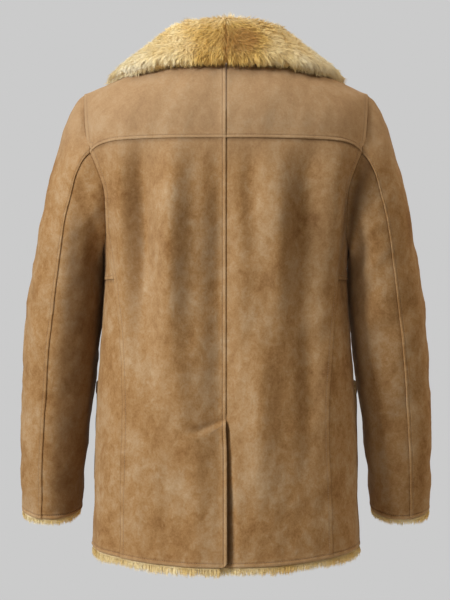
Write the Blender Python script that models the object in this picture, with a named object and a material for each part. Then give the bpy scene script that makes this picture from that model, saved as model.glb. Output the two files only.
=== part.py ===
"""A man's shearling coat in the hollow form it keeps when it is worn, seen without a wearer.

Tanned sheepskin with the wool inside: a two-piece yoked back with a centre vent, a side
body under each arm, plain fronts closed left over right with four buttons, two-piece
sleeves bent forward at the elbow, patch pockets, and a wide collar with the wool outside.
x runs to the wearer's left, the back faces +y, and z = 0 is the neck seam at the centre back.
"""

import math
from collections import namedtuple

import bmesh
import bpy
import numpy as np

# Driving dimensions, in metres.
WALL = 0.006              # skin and clipped wool of the body and sleeves
SEAM = 0.0003             # each piece stops this far short of the line of a seam
LAP = 0.0012              # how far a lapped seam stands up
LAP_WIDTH = 0.006         # from the edge of a lapped seam to its row of stitches
LAP_SLOPE = 0.0015        # over which the lap falls back to the plain skin
ROUND = 2.35              # power of the rounded-off ellipse of a level section
NECK_HALF_WIDTH = 0.078
NECK_BACK = 0.079         # from the shoulder line back to the neck seam
NECK_FRONT = 0.106        # from the shoulder line forward to the neck seam
YOKE_HEIGHT = -0.1203     # yoke seam at the centre back
CHEST_HEIGHT = -0.140     # level where the fronts start to lean back to the shoulder
SHOULDER_HEIGHT = 0.0228  # shoulder line beside the neck
SHOULDER_SLOPE = 0.432
SHOULDER_WIDTH = 0.2265   # half the width from armhole to armhole over the shoulders
UNDERARM_HEIGHT = -0.287
SIDE_JOIN_HEIGHT = -0.262 # where the side body's seams run into the armhole
WAIST_SEAM_HEIGHT = -0.337
VENT_HEIGHT = -0.5535
VENT_LIFT = 0.0030        # how far the left back stands out over the vent
VENT_DIP = 0.0038         # and how far the right back sinks under it
VENT_CORNER = 0.008
UNDERLAP = 0.038          # width of the layer under the vent's edge
HEM_HEIGHT = -0.7595      # skin's edge at the side
HEM_DROP_BACK = 0.018
HEM_DROP_FRONT = 0.010
HEM_HALF_WIDTH = 0.2140
WRAP = 0.028              # each front runs this far past the centre
WRAP_LIFT = 0.0038        # left front out, right front in, where they overlap
POCKET_TOP = -0.496
POCKET_BOTTOM = -0.665
POCKET_TURNS = (math.radians(97), math.radians(160))
POCKET_WALL = 0.0048
POCKET_PUFF = 0.0020
POCKET_CORNER = 0.016
COLLAR_HALF = 0.010       # half the thickness of the collar's skin and long wool
BUTTON_RADIUS = 0.0140
BUTTON_HEIGHTS = (-0.182, -0.308, -0.434, -0.560)
HEM_WOOL = 0.0138         # wool showing below the skin's edge at the hem
CUFF_WOOL = 0.0105
WOOL_START = 0.0004       # gap between the skin's edge and the wool below it

# Level sections of the body, from the hem up. Above the underarm the half-width is that of
# the whole shape, which the armholes cut away.
Level = namedtuple("Level", "height half_width back_depth front_depth")
TORSO = (
    Level(-0.800, 0.2145, 0.1420, 0.1410),
    Level(-0.760, 0.2137, 0.1415, 0.1405),
    Level(-0.700, 0.2112, 0.1400, 0.1390),
    Level(-0.625, 0.2085, 0.1380, 0.1375),
    Level(-0.550, 0.2060, 0.1360, 0.1360),
    Level(-0.487, 0.2035, 0.1335, 0.1350),
    Level(-0.420, 0.1990, 0.1305, 0.1340),
    Level(-0.353, 0.1945, 0.1290, 0.1340),
    Level(-0.300, 0.1938, 0.1310, 0.1350),
    Level(-0.262, 0.1975, 0.1330, 0.1350),
    Level(-0.235, 0.2030, 0.1340, 0.1340),
    Level(-0.200, 0.2150, 0.1335, 0.1310),
    Level(-0.170, 0.2270, 0.1315, 0.1270),
    Level(-0.139, 0.2360, 0.1290, 0.1220),
    Level(-0.110, 0.2400, 0.1270, 0.1180),
)

# Half-width, at each height, of the line where the back or front ends: the side body's
# seam below the underarm, the armhole above it.
Edge = namedtuple("Edge", "height back front")
SIDE_SEAM = (
    Edge(-0.800, 0.1655, 0.1730),
    Edge(-0.660, 0.1625, 0.1700),
    Edge(-0.550, 0.1600, 0.1680),
    Edge(-0.470, 0.1630, 0.1680),
    Edge(-0.400, 0.1680, 0.1690),
    Edge(-0.337, 0.1755, 0.1710),
    Edge(-0.298, 0.1820, 0.1750),
    Edge(-0.262, 0.1888, 0.1800),
)
ARMHOLE = (
    Edge(-0.262, 0.1888, 0.1800),
    Edge(-0.235, 0.1888, 0.1790),
    Edge(-0.200, 0.1912, 0.1830),
    Edge(-0.175, 0.2000, 0.1920),
    Edge(-0.139, 0.2125, 0.2090),
)

# Soft vertical folds of the body: a trough, or with a negative depth a ridge.
Fold = namedtuple("Fold", "face x top bottom width depth")
FOLDS = (
    Fold("back", 0.146, -0.125, -0.420, 0.017, 0.0060),
    Fold("back", 0.100, -0.140, -0.470, 0.024, -0.0040),
    Fold("back", 0.056, -0.150, -0.430, 0.018, 0.0050),
    Fold("back", 0.026, -0.150, -0.380, 0.014, -0.0015),
    Fold("back", -0.022, -0.130, -0.330, 0.016, 0.0030),
    Fold("back", -0.064, -0.130, -0.340, 0.020, -0.0035),
    Fold("back", -0.110, -0.125, -0.470, 0.020, 0.0055),
    Fold("back", -0.150, -0.170, -0.410, 0.016, -0.0030),
    Fold("back", 0.050, -0.480, -0.640, 0.022, 0.0035),
    Fold("front", 0.135, -0.150, -0.430, 0.022, 0.0050),
    Fold("front", 0.090, -0.220, -0.460, 0.024, -0.0030),
    Fold("front", -0.128, -0.160, -0.450, 0.022, 0.0050),
    Fold("front", -0.085, -0.200, -0.420, 0.026, -0.0030),
)

# Sleeve sections from the armhole down: the outermost and innermost point of each, and the
# middle and half of its depth. lean, in degrees, lowers the back of the forearm's sections,
# and keep is the share that each section keeps of the armhole's own shape.
Ring = namedtuple("Ring", "outer_x outer_z inner_x inner_z middle_y half_depth lean keep")
SLEEVE = (
    Ring(0.2265, -0.0405, 0.1945, -0.2870, 0.000, 0.0740, 0, 1.00),
    Ring(0.2365, -0.0500, 0.1953, -0.2925, -0.002, 0.0770, 0, 0.75),
    Ring(0.2480, -0.0690, 0.1953, -0.2985, -0.004, 0.0790, 0, 0.50),
    Ring(0.2605, -0.0980, 0.1951, -0.3060, -0.007, 0.0800, 0, 0.28),
    Ring(0.2726, -0.1400, 0.1950, -0.3160, -0.010, 0.0805, 0, 0.12),
    Ring(0.2856, -0.1850, 0.1950, -0.3300, -0.014, 0.0805, 0, 0.04),
    Ring(0.2950, -0.2300, 0.1953, -0.3490, -0.018, 0.0800, 0, 0.00),
    Ring(0.3052, -0.2850, 0.1969, -0.3760, -0.022, 0.0785, 2, 0.00),
    Ring(0.3145, -0.3450, 0.1994, -0.4100, -0.026, 0.0765, 5, 0.00),
    Ring(0.3240, -0.4150, 0.2035, -0.4560, -0.031, 0.0735, 8, 0.00),
    Ring(0.3290, -0.4850, 0.2105, -0.5050, -0.036, 0.0700, 11, 0.00),
    Ring(0.3320, -0.5550, 0.2200, -0.5620, -0.042, 0.0665, 13, 0.00),
    Ring(0.3330, -0.6290, 0.2275, -0.6310, -0.049, 0.0620, 15, 0.00),
    Ring(0.3316, -0.7045, 0.2355, -0.7045, -0.058, 0.0575, 16, 0.00),
)
SLEEVE_ROUND = 0.90       # power of the cosine and sine that draw a sleeve's section

# Creases of each sleeve: along it from 0 at the armhole to 1 at the cuff, round it in
# degrees from its outer edge through the back, then the reach both ways and the depth.
Crease = namedtuple("Crease", "side along turn reach spread depth")
CREASES = (
    Crease(1, 0.34, 140, 0.17, 26, 0.011),
    Crease(1, 0.50, 105, 0.050, 34, 0.004),
    Crease(1, 0.62, 120, 0.045, 40, 0.005),
    Crease(1, 0.56, 300, 0.050, 40, 0.004),
    Crease(1, 0.80, 80, 0.060, 30, 0.003),
    Crease(-1, 0.36, 140, 0.17, 26, 0.011),
    Crease(-1, 0.53, 112, 0.045, 36, 0.004),
    Crease(-1, 0.66, 95, 0.050, 34, 0.004),
    Crease(-1, 0.58, 290, 0.050, 40, 0.004),
    Crease(-1, 0.83, 100, 0.060, 30, 0.003),
)

# Collar on the wearer's left, round the neck seam from the centre back to the centre front:
# the middle of its fold, and the middle of its outer edge.
Station = namedtuple("Station", "turn roll_x roll_y roll_z edge_x edge_y edge_z")
COLLAR = (
    Station(0, 0.0000, 0.0860, 0.0630, 0.0000, 0.1150, -0.0020),
    Station(30, 0.0440, 0.0760, 0.0600, 0.0740, 0.1080, -0.0030),
    Station(60, 0.0750, 0.0450, 0.0550, 0.1370, 0.0760, -0.0055),
    Station(90, 0.0868, 0.0040, 0.0528, 0.1735, 0.0130, -0.0095),
    Station(120, 0.0820, -0.0420, 0.0385, 0.1870, -0.0500, -0.0270),
    Station(150, 0.0520, -0.0900, 0.0020, 0.1450, -0.1260, -0.0820),
    Station(174, 0.0165, -0.1190, -0.0400, 0.0860, -0.1480, -0.1450),
)

SUEDE = ("suede", (0.40, 0.26, 0.135), 0.95)
WOOL = ("wool", (0.62, 0.43, 0.17), 0.98)
HORN = ("horn", (0.10, 0.055, 0.03), 0.35)


def along(rows, column, at):
    """A named column of a table at a value of its first column, on a smooth curve through the rows."""
    keys = np.array([row[0] for row in rows], float)
    values = np.array([getattr(row, column) for row in rows], float)
    slopes = np.gradient(values, keys)
    at = np.clip(at, keys[0], keys[-1])
    i = np.clip(np.searchsorted(keys, at) - 1, 0, len(keys) - 2)
    step = keys[i + 1] - keys[i]
    s = (at - keys[i]) / step
    ends = values[i] * (1 + 2 * s) * (1 - s) ** 2 + values[i + 1] * s**2 * (3 - 2 * s)
    return ends + step * s * (1 - s) * (slopes[i] * (1 - s) - slopes[i + 1] * s)


def ease(value):
    """0 below 0, 1 above 1, and smooth between."""
    value = np.clip(value, 0, 1)
    return value * value * (3 - 2 * value)


def unit(vectors):
    return vectors / np.linalg.norm(vectors, axis=-1, keepdims=True)


# Heights and edges of the body. x is measured from the centre towards a piece's own side.


def yoke_line(x):
    share = np.abs(x) / ARMHOLE[-1].back
    return YOKE_HEIGHT - 0.0040 * share**4 - 0.0150 * share**16


def base_line(face, x):
    """Where the surface starts to lean towards the shoulder: the yoke seam, or chest level in front."""
    return yoke_line(x) if face == "back" else np.full(np.shape(x), CHEST_HEIGHT)


def shoulder_line(x):
    """Height of the ridge of the shoulder, flattened out over the neck."""
    beyond = np.maximum(np.abs(x) - NECK_HALF_WIDTH, 0)
    within = np.clip(1 - (np.abs(x) / NECK_HALF_WIDTH) ** 2, 0, 1)
    return SHOULDER_HEIGHT - SHOULDER_SLOPE * beyond + 0.0092 * within


def hem_line(x, y):
    """Height of the skin's edge, lowest at the centre back and centre front."""
    drop = np.where(y >= 0, HEM_DROP_BACK, HEM_DROP_FRONT)
    return HEM_HEIGHT - drop * (1 - np.clip(np.abs(x) / HEM_HALF_WIDTH, 0, 1) ** 2.2)


def armhole_x(face, rise):
    """Half-width of the armhole above the base line, from there to the shoulder."""
    start = getattr(ARMHOLE[-1], face)
    return start + (SHOULDER_WIDTH - start) * np.sin(rise * math.pi / 2) ** 0.6


def edge_x(face, z):
    """Half-width of the back or front at a height below the base line."""
    seam = along(SIDE_SEAM, face, z) - SEAM
    return np.where(z >= SIDE_JOIN_HEIGHT, along(ARMHOLE, face, z), seam)


def towards_hem(z, hem):
    """Share, 0 at the waist to 1 at the hem, by which a row follows the hem's own curve."""
    return np.clip((z + 0.45) / (hem + 0.45), 0, 1)


# The body's surface: each function gives points of the skin and the directions out of it.


def plain_y(face, x, z):
    share = 1 - (np.abs(x) / along(TORSO, "half_width", z)) ** ROUND
    depth = along(TORSO, f"{face}_depth", z)
    return (1 if face == "back" else -1) * depth * np.clip(share, 0, None) ** (1 / ROUND)


def outward(points):
    """Direction straight out of the body at points below the base line."""
    x, y, z = np.moveaxis(points, -1, 0)

    def sizes(height):
        depth = np.where(y >= 0, along(TORSO, "back_depth", height), along(TORSO, "front_depth", height))
        return along(TORSO, "half_width", height), depth

    def level(height):
        half, depth = sizes(height)
        return (np.abs(x) / half) ** ROUND + (np.abs(y) / depth) ** ROUND

    step = 1e-4
    half, depth = sizes(z)
    base = np.where(y >= 0, yoke_line(x), CHEST_HEIGHT)
    below = 1 - np.exp(np.minimum(z - base, 0) / 0.03)
    along_x = ROUND * np.sign(x) * np.abs(x) ** (ROUND - 1) / half**ROUND
    along_y = ROUND * np.sign(y) * np.abs(y) ** (ROUND - 1) / depth**ROUND
    along_z = (level(z + step) - level(z - step)) / (2 * step) * below
    return unit(np.stack([along_x, along_y, along_z], -1))


def lower(face, x, z):
    """Below the base line, at a distance from the centre and a height."""
    x, z = np.broadcast_arrays(x, z)
    points = np.stack([x, plain_y(face, x, z), z], -1)
    return points, outward(points)


def around(turn, z):
    """Below the base line, at a turn round the body from the centre back and a height."""
    turn, z = np.broadcast_arrays(turn, z)
    power = 2 / ROUND
    depth = np.where(np.cos(turn) >= 0, along(TORSO, "back_depth", z), along(TORSO, "front_depth", z))
    x = along(TORSO, "half_width", z) * np.abs(np.sin(turn)) ** power
    y = depth * np.sign(np.cos(turn)) * np.abs(np.cos(turn)) ** power
    points = np.stack([x, y, z], -1)
    return points, outward(points)


def turn_of(face, x, z):
    """Turn round the body of a point at a distance from the centre."""
    share = np.clip(x / along(TORSO, "half_width", z), 0, 1) ** (ROUND / 2)
    turn = np.arcsin(share)
    return turn if face == "back" else math.pi - turn


def upper_form(face, x, rise):
    base = base_line(face, x)
    angle = rise * math.pi / 2
    y = plain_y(face, x, base) * np.cos(angle)
    z = base + (shoulder_line(x) - base) * np.sin(angle)
    return np.stack([x + 0 * rise, y, z], -1)


def upper(face, x, rise):
    """From the base line, rise 0, over to the shoulder line, rise 1."""
    x, rise = np.broadcast_arrays(x, rise)
    step = 1e-4
    points = upper_form(face, x, rise)
    across = upper_form(face, x + step, rise) - upper_form(face, x - step, rise)
    below = np.clip(rise - step, 0, None)
    up = upper_form(face, x, below + step) - upper_form(face, x, below)
    normals = unit(np.cross(across, up))
    from_middle = points + np.array([0, 0, 0.25])
    normals = normals * np.sign(np.sum(normals * from_middle, -1, keepdims=True))
    foot = outward(upper_form(face, x, 0 * rise))
    weight = np.exp(-rise / 0.08)[..., None]
    return points, unit(normals * (1 - weight) + foot * weight)


def neck_rise(face, x):
    """How far up the surface reaches at a distance from the centre: the neck seam, or the shoulder."""
    reach = NECK_BACK if face == "back" else NECK_FRONT
    y = reach * np.sqrt(np.clip(1 - (np.abs(x) / NECK_HALF_WIDTH) ** 2, 0, None))
    return np.arccos(np.clip(y / np.abs(plain_y(face, x, base_line(face, x))), 0, 1)) * 2 / math.pi


def push(side, points):
    """How far the cloth stands out from the plain form: at the vent, where the fronts wrap, in folds."""
    x, y, z = np.moveaxis(points, -1, 0)
    back = y >= 0
    centre = 1 - ease((x - 0.030) / 0.045)
    if side > 0:
        open_line = VENT_HEIGHT - 0.45 * np.clip(x, 0, 0.040)
        vent = VENT_LIFT * ease((open_line - z) / 0.012) * (1 - ease((x - 0.040) / 0.035))
        wrap = WRAP_LIFT * centre
    else:
        widening = 0.004 + 0.010 * ease((VENT_HEIGHT - z) / 0.2)
        vent = -VENT_DIP * ease((VENT_HEIGHT - z) / 0.022) * (1 - ease((x - 0.001) / widening))
        wrap = -WRAP_LIFT * centre
    out = np.where(back, vent, wrap)
    seam = np.where(back, edge_x("back", z), edge_x("front", z))
    inside = 1 - np.clip(np.abs(x) / seam, 0, 1) ** 10
    for fold in FOLDS:
        share = np.clip((fold.top - z) / (fold.top - fold.bottom), 0, 1)
        shape = np.sin(math.pi * share**0.8) ** 2 * np.exp(-(((side * x - fold.x) / fold.width) ** 2))
        out = out - np.where(back == (fold.face == "back"), fold.depth * shape * inside, 0)
    return out


def dressed(side, points, normals, extra=0.0):
    """The skin as it hangs: plain points moved out by the push and by anything extra."""
    return points + normals * (push(side, points) + extra)[..., None]


def across_seam(points):
    """The same points through the thickness of the armhole seam, towards the middle of the armhole."""
    return points + unit((np.array([0, 0, -0.165]) - points) * (0, 1, 1)) * WALL


# Closed bodies.


def finish(name, body, material):
    """The object of a finished mesh, with its own material and its faces turned outwards."""
    bmesh.ops.recalc_face_normals(body, faces=body.faces)
    mesh = bpy.data.meshes.new(name)
    body.to_mesh(mesh)
    body.free()
    mesh.shade_smooth()
    mesh.set_sharp_from_angle(angle=math.radians(40))
    kind, colour, roughness = material
    paint = bpy.data.materials.new(f"{kind}_{name}")
    paint.use_nodes = True
    shader = paint.node_tree.nodes["Principled BSDF"]
    shader.inputs["Base Color"].default_value = (*colour, 1)
    shader.inputs["Roughness"].default_value = roughness
    mesh.materials.append(paint)
    COAT.objects.link(bpy.data.objects.new(name, mesh))


def cloth(name, side, outer, inner, material=SUEDE, present=None):
    """A closed wall from two matching grids of points, with the squares that aren't present left out."""
    rows, columns = outer.shape[:2]
    present = np.ones((rows - 1, columns - 1), bool) if present is None else present
    body = bmesh.new()
    layers = [[[body.verts.new(p * (side, 1, 1)) for p in row] for row in layer] for layer in (outer, inner)]
    sides = (((0, 0), (0, 1), (-1, 0)), ((0, 1), (1, 1), (0, 1)))
    sides += (((1, 1), (1, 0), (1, 0)), ((1, 0), (0, 0), (0, -1)))
    for r, c in zip(*np.nonzero(present)):
        corners = ((r, c), (r, c + 1), (r + 1, c + 1), (r + 1, c))
        body.faces.new([layers[0][i][j] for i, j in corners])
        body.faces.new([layers[1][i][j] for i, j in reversed(corners)])
        for start, end, (down, right) in sides:
            i, j = r + down, c + right
            if 0 <= i < rows - 1 and 0 <= j < columns - 1 and present[i, j]:
                continue
            near, far = ([layer[r + k][c + m] for k, m in (start, end)] for layer in layers)
            body.faces.new([near[1], near[0], far[0], far[1]])
    bmesh.ops.delete(body, geom=[v for v in body.verts if not v.link_faces], context="VERTS")
    finish(side_name(name, side), body, material)


def tube(name, side, sections, material, joined=False):
    """A closed body through sections of matching points, capped at both ends or joined end to end."""
    body = bmesh.new()
    rings = [[body.verts.new(p * (side, 1, 1)) for p in section] for section in sections]
    pairs = list(zip(rings, rings[1:]))
    if joined:
        pairs.append((rings[-1], rings[0]))
    else:
        body.faces.new(rings[0])
        body.faces.new(rings[-1])
    for first, second in pairs:
        for i in range(len(first)):
            j = (i + 1) % len(first)
            body.faces.new([first[i], first[j], second[j], second[i]])
    finish(name, body, material)


def side_name(name, side):
    return f"{name}_{'left' if side > 0 else 'right'}"


# Body pieces. Their grids run from the top down and from the centre to the side.

BAND = (LAP_WIDTH + LAP_SLOPE, LAP_WIDTH)
ARM_HEIGHTS = (-0.139, -0.158, -0.180, -0.205, -0.233, SIDE_JOIN_HEIGHT)
SEAM_HEIGHTS = (-0.298, WAIST_SEAM_HEIGHT, -0.380, -0.425, -0.470, -0.512)
VENT_HEIGHTS = (VENT_HEIGHT, -0.578, -0.620, -0.670, -0.720)


def back_heights():
    """Heights of the rows at the back's outer edge, the last of them on the hem."""
    hem = hem_line(along(SIDE_SEAM, "back", HEM_HEIGHT), 1.0)
    return np.array([*ARM_HEIGHTS, *SEAM_HEIGHTS, *VENT_HEIGHTS, hem + BAND[0], hem])


def build_yoke(side):
    """Half of the back yoke. Gives its armhole edge as points outside and inside."""
    shares = np.array([0.10, 0.19, 0.27, 0.32, NECK_HALF_WIDTH / SHOULDER_WIDTH, 0.50, 0.61, 0.72, 0.82, 0.91])
    heights = np.array([1, 0.84, 0.66, 0.48, 0.31, 0.15, 0, 0, 0])
    edge = armhole_x("back", heights)[:, None]
    near = np.tile([SEAM, BAND[1], BAND[0]], (len(heights), 1))
    x = np.concatenate([near, edge * shares, edge - np.array([*BAND, 0])], 1)
    top = neck_rise("back", x)
    rise = heights[:, None] * top
    climb = (shoulder_line(x) - yoke_line(x)) * math.pi / 2
    for row, up in ((-3, BAND[0]), (-2, BAND[1]), (-1, SEAM)):
        rise[row] = (up / climb)[row]
    points, normals = upper("back", x, rise)
    points[0, :, 1] += np.where(top[0] >= 0.999, SEAM, 0)
    lap = np.zeros_like(x)
    lap[-2:] = LAP
    lap[:, -2:] = LAP
    if side > 0:
        lap[:, :2] = LAP
    outer = dressed(side, points, normals, lap)
    inner = outer - normals * WALL
    outer[:, -1, 0] = points[:, -1, 0]
    arm = across_seam(points[:, -1])
    inner[:, -1] = outer[:, -1] + arm - points[:, -1]
    cloth("back_yoke", side, outer, inner)
    return points[:, -1], arm


def build_back(side):
    """Half of the back below the yoke, the left one ending in the vent's free edge, the right one under it."""
    heights = back_heights()
    hem = heights[-1]
    shares = np.array([0.15, 0.27, 0.39, 0.50, 0.61, 0.72, 0.82, 0.91, 1])
    under = [] if side > 0 else [-UNDERLAP, -0.5 * UNDERLAP, -0.004]
    start = len(under)
    near = np.tile([*under, SEAM, BAND[1], BAND[0]], (len(heights), 1))
    edge = edge_x("back", heights)[:, None]
    x = np.concatenate([near, edge * shares], 1)
    z = np.broadcast_to(heights[:, None], x.shape).copy()
    z[0] -= SEAM
    fading = np.clip(1 - (heights[0] - heights) / 0.12, 0, 1)[:, None]
    z += (yoke_line(x) - yoke_line(edge[:1])) * fading
    z += (hem_line(x, 1.0) - hem) * towards_hem(heights, hem)[:, None]
    lap = np.zeros_like(x)
    present = np.ones((len(heights) - 1, x.shape[1] - 1), bool)
    if side > 0:
        lap[:, :2] = LAP
        x[heights < -0.600, 0] = -0.0015
        off_edge = np.clip(VENT_CORNER - (x[-1] - x[-1, 0]), 0, VENT_CORNER)
        z[-1] += VENT_CORNER - np.sqrt(VENT_CORNER**2 - off_edge**2)
        z[-2, 0] = (z[-1, 0] + z[-3, 0]) / 2
    else:
        first = list(heights).index(VENT_HEIGHTS[1])
        present[:first, :start] = False
        slant = np.array([0.017, 0.0085, 0.002])
        z[first, :start] -= slant
        z[first + 1, :start] -= slant * 0.4
    points, normals = lower("back", x, z)
    outer = dressed(side, points, normals, lap)
    inner = outer - normals * WALL
    arm = len(ARM_HEIGHTS)
    plain = points[:arm, -1]
    inner[:arm, -1] = outer[:arm, -1] + across_seam(plain) - plain
    cloth("back", side, outer, inner, present=present)
    return plain, across_seam(plain)


def build_side(side):
    """The body under the arm, cut in two by a level seam. Gives the armhole edge and the hem's height in front."""
    heights = back_heights()
    hem = heights[-1]
    shares = np.linspace(0, 1, 6)

    def turns_at(z):
        first = turn_of("back", along(SIDE_SEAM, "back", z) + SEAM, z)
        last = turn_of("front", along(SIDE_SEAM, "front", z) + SEAM, z)
        return first + (last - first) * shares

    armhole = UNDERARM_HEIGHT + (SIDE_JOIN_HEIGHT - UNDERARM_HEIGHT) * np.abs(2 * shares - 1) ** 3
    z = np.array([armhole + (WAIST_SEAM_HEIGHT + SEAM - armhole) * share for share in (0, 0.48, 1)])
    points, normals = around(np.array([turns_at(row) for row in z]), z)
    outer = dressed(side, points, normals)
    inner = outer - normals * WALL
    arm = across_seam(points[0])
    inner[0] = outer[0] + arm - points[0]
    cloth("side_upper", side, outer, inner)

    rows = np.array([WAIST_SEAM_HEIGHT - SEAM, *heights[heights < WAIST_SEAM_HEIGHT - SEAM]])
    z_low = np.broadcast_to(rows[:, None], (len(rows), len(shares))).copy()
    level, _ = around(np.array([turns_at(row) for row in z_low]), z_low)
    z_low += (hem_line(level[..., 0], level[..., 1]) - hem) * towards_hem(rows, hem)[:, None]
    points_low, normals_low = around(np.array([turns_at(row) for row in z_low]), z_low)
    outer_low = dressed(side, points_low, normals_low)
    cloth("side_lower", side, outer_low, outer_low - normals_low * WALL)
    return points[0], arm, z_low[:, -1]


def build_front(side, side_heights):
    """One plain front, from the hem over to the shoulder seam, running past the centre by the wrap."""
    arm_heights = (CHEST_HEIGHT, -0.168, -0.196, -0.228, SIDE_JOIN_HEIGHT)
    heights = np.array([*arm_heights, SEAM_HEIGHTS[0], *side_heights])
    rises = np.array([1, 0.86, 0.70, 0.52, 0.34, 0.17])
    shares = np.array([0.10, 0.19, 0.27, 0.32, NECK_HALF_WIDTH / SHOULDER_WIDTH, 0.45, 0.58, 0.71, 0.84, 1])

    def columns(edge):
        return np.concatenate([np.tile([-WRAP, -WRAP / 2, 0], (len(edge), 1)), edge[:, None] * shares], 1)

    x_top = columns(armhole_x("front", rises))
    top, top_normals = upper("front", x_top, rises[:, None] * neck_rise("front", x_top))
    top[0, :, 1] -= np.where(np.abs(x_top[0]) >= NECK_HALF_WIDTH - 1e-6, SEAM, 0)
    edge = edge_x("front", heights)
    x_low = columns(edge)
    z = np.broadcast_to(heights[:, None], x_low.shape).copy()
    z += (hem_line(x_low, -1.0) - hem_line(edge[-1:], -1.0)) * towards_hem(heights, heights[-1])[:, None]
    bottom, bottom_normals = lower("front", x_low, z)
    points = np.concatenate([top, bottom])
    normals = np.concatenate([top_normals, bottom_normals])
    outer = dressed(side, points, normals)
    inner = outer - normals * WALL
    arm = len(rises) + len(arm_heights)
    plain = points[:arm, -1]
    inner[:arm, -1] = outer[:arm, -1] + across_seam(plain) - plain
    cloth("front", side, outer, inner)
    return plain, across_seam(plain)


def build_pocket(side):
    """A patch pocket that runs from the front round to the side."""
    across = np.linspace(0, 1, 11)
    turns = POCKET_TURNS[0] + (POCKET_TURNS[1] - POCKET_TURNS[0]) * across
    from_middle = np.abs(2 * across - 1)
    off = np.clip(from_middle - 0.84, 0, 0.16) / 0.16
    foot = POCKET_BOTTOM + POCKET_CORNER * (1 - np.sqrt(1 - off**2 * 0.96))
    top = POCKET_TOP - 0.006 * from_middle**6
    down = np.array([0, 0.05, 0.13, 0.32, 0.52, 0.72, 0.88, 1.0])[:, None]
    z = top + (foot - top) * down
    points, normals = around(np.broadcast_to(turns, z.shape), z)
    under = dressed(side, points, normals, 0.0008)
    puff = POCKET_PUFF * np.sin(math.pi * across) * np.sin(math.pi * down) ** 0.5
    welt = np.where(down < 0.14, LAP, 0)
    cloth("pocket", side, under + normals * (POCKET_WALL + puff + welt)[..., None], under)


# Sleeves.


def sleeve_frame(ring):
    """Middle of a section, and half of it outwards and half of it to the back."""
    outermost = np.array([ring.outer_x, ring.middle_y, ring.outer_z])
    innermost = np.array([ring.inner_x, ring.middle_y, ring.inner_z])
    lean = math.radians(ring.lean)
    back = np.array([0, math.cos(lean), -math.sin(lean)]) * ring.half_depth
    return (outermost + innermost) / 2, (outermost - innermost) / 2, back


def crease_depth(side, place, turns):
    depth = np.zeros_like(turns)
    for crease in CREASES:
        if crease.side == side:
            off = (np.degrees(turns) - crease.turn + 180) % 360 - 180
            reach = ((place - crease.along) / crease.reach) ** 2
            depth += crease.depth * np.exp(-((off / crease.spread) ** 2) - reach)
    return depth


def sleeve_section(side, ring, place, inset, turns):
    """Points round the sleeve, at turns from its outer edge through the back, an inset in from the skin."""
    middle, reach, back = sleeve_frame(ring)
    inset = inset + crease_depth(side, place, turns)
    wide = np.sign(np.cos(turns)) * np.abs(np.cos(turns)) ** SLEEVE_ROUND
    deep = np.sign(np.sin(turns)) * np.abs(np.sin(turns)) ** SLEEVE_ROUND
    wide = wide * (1 - inset / np.linalg.norm(reach))
    deep = deep * (1 - inset / ring.half_depth)
    return middle + wide[:, None] * reach + deep[:, None] * back


def lap_last(out, inn):
    """Two more columns before the last one, so that it and the next stand up as a lapped edge."""
    step = out[:, -2] - out[:, -1]
    size = np.linalg.norm(step, axis=-1, keepdims=True)
    raised = unit(out[:, -1] - inn[:, -1]) * LAP
    raised[0] = 0
    edge = out[:, -1] + raised
    shelf = out[:, -1] + step * np.minimum(BAND[0] / size, 0.9)
    band = edge + step * np.minimum(BAND[1] / size, 0.8)
    inner_step = inn[:, -2] - inn[:, -1]
    inner_columns = [inn[:, -1] + inner_step * share for share in (0.4, 0.3, 0)]
    out = np.concatenate([out[:, :-1], np.stack([shelf, band, edge], 1)], 1)
    return out, np.concatenate([inn[:, :-1], np.stack(inner_columns, 1)], 1)


def build_sleeve(side, seat_outer, seat_inner, hind):
    """Both pieces of a sleeve, from the armhole's points to the cuff.

    The armhole's points run from the shoulder round by the back. The hind seam starts at
    number hind, the end of the yoke seam, and the fore seam seven points before the shoulder.
    """
    count = len(seat_outer)
    fore = count - 7
    middle, reach, back = sleeve_frame(SLEEVE[0])
    from_middle = seat_outer - middle
    turn = np.unwrap(
        np.arctan2(from_middle @ back / (back @ back), from_middle @ reach / (reach @ reach))
    )
    layers = []
    for seat, inset in ((seat_outer, 0.0), (seat_inner, WALL)):
        off_plain = seat - sleeve_section(side, SLEEVE[0], -1.0, inset, turn)
        rings = []
        for ring, place in zip(SLEEVE, np.linspace(0, 1, len(SLEEVE))):
            rings.append(sleeve_section(side, ring, place, inset, turn) + off_plain * ring.keep)
        rings[0] = seat + np.array([2 * SEAM, 0, 0])
        layers.append(np.array(rings))

    for name, first, last in (("sleeve_top", fore - count, hind), ("sleeve_under", hind, fore)):
        numbers = [n % count for n in range(first, last + 1)]
        out, inn = (layer[:, numbers].copy() for layer in layers)
        for layer in (out, inn):
            layer[:, 0] += unit(layer[:, 1] - layer[:, 0]) * SEAM
            layer[:, -1] += unit(layer[:, -2] - layer[:, -1]) * SEAM
        if name == "sleeve_top":
            out, inn = lap_last(out, inn)
        cloth(name, side, out, inn)


# Wool that shows beyond the skin, and the collar.


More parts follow.
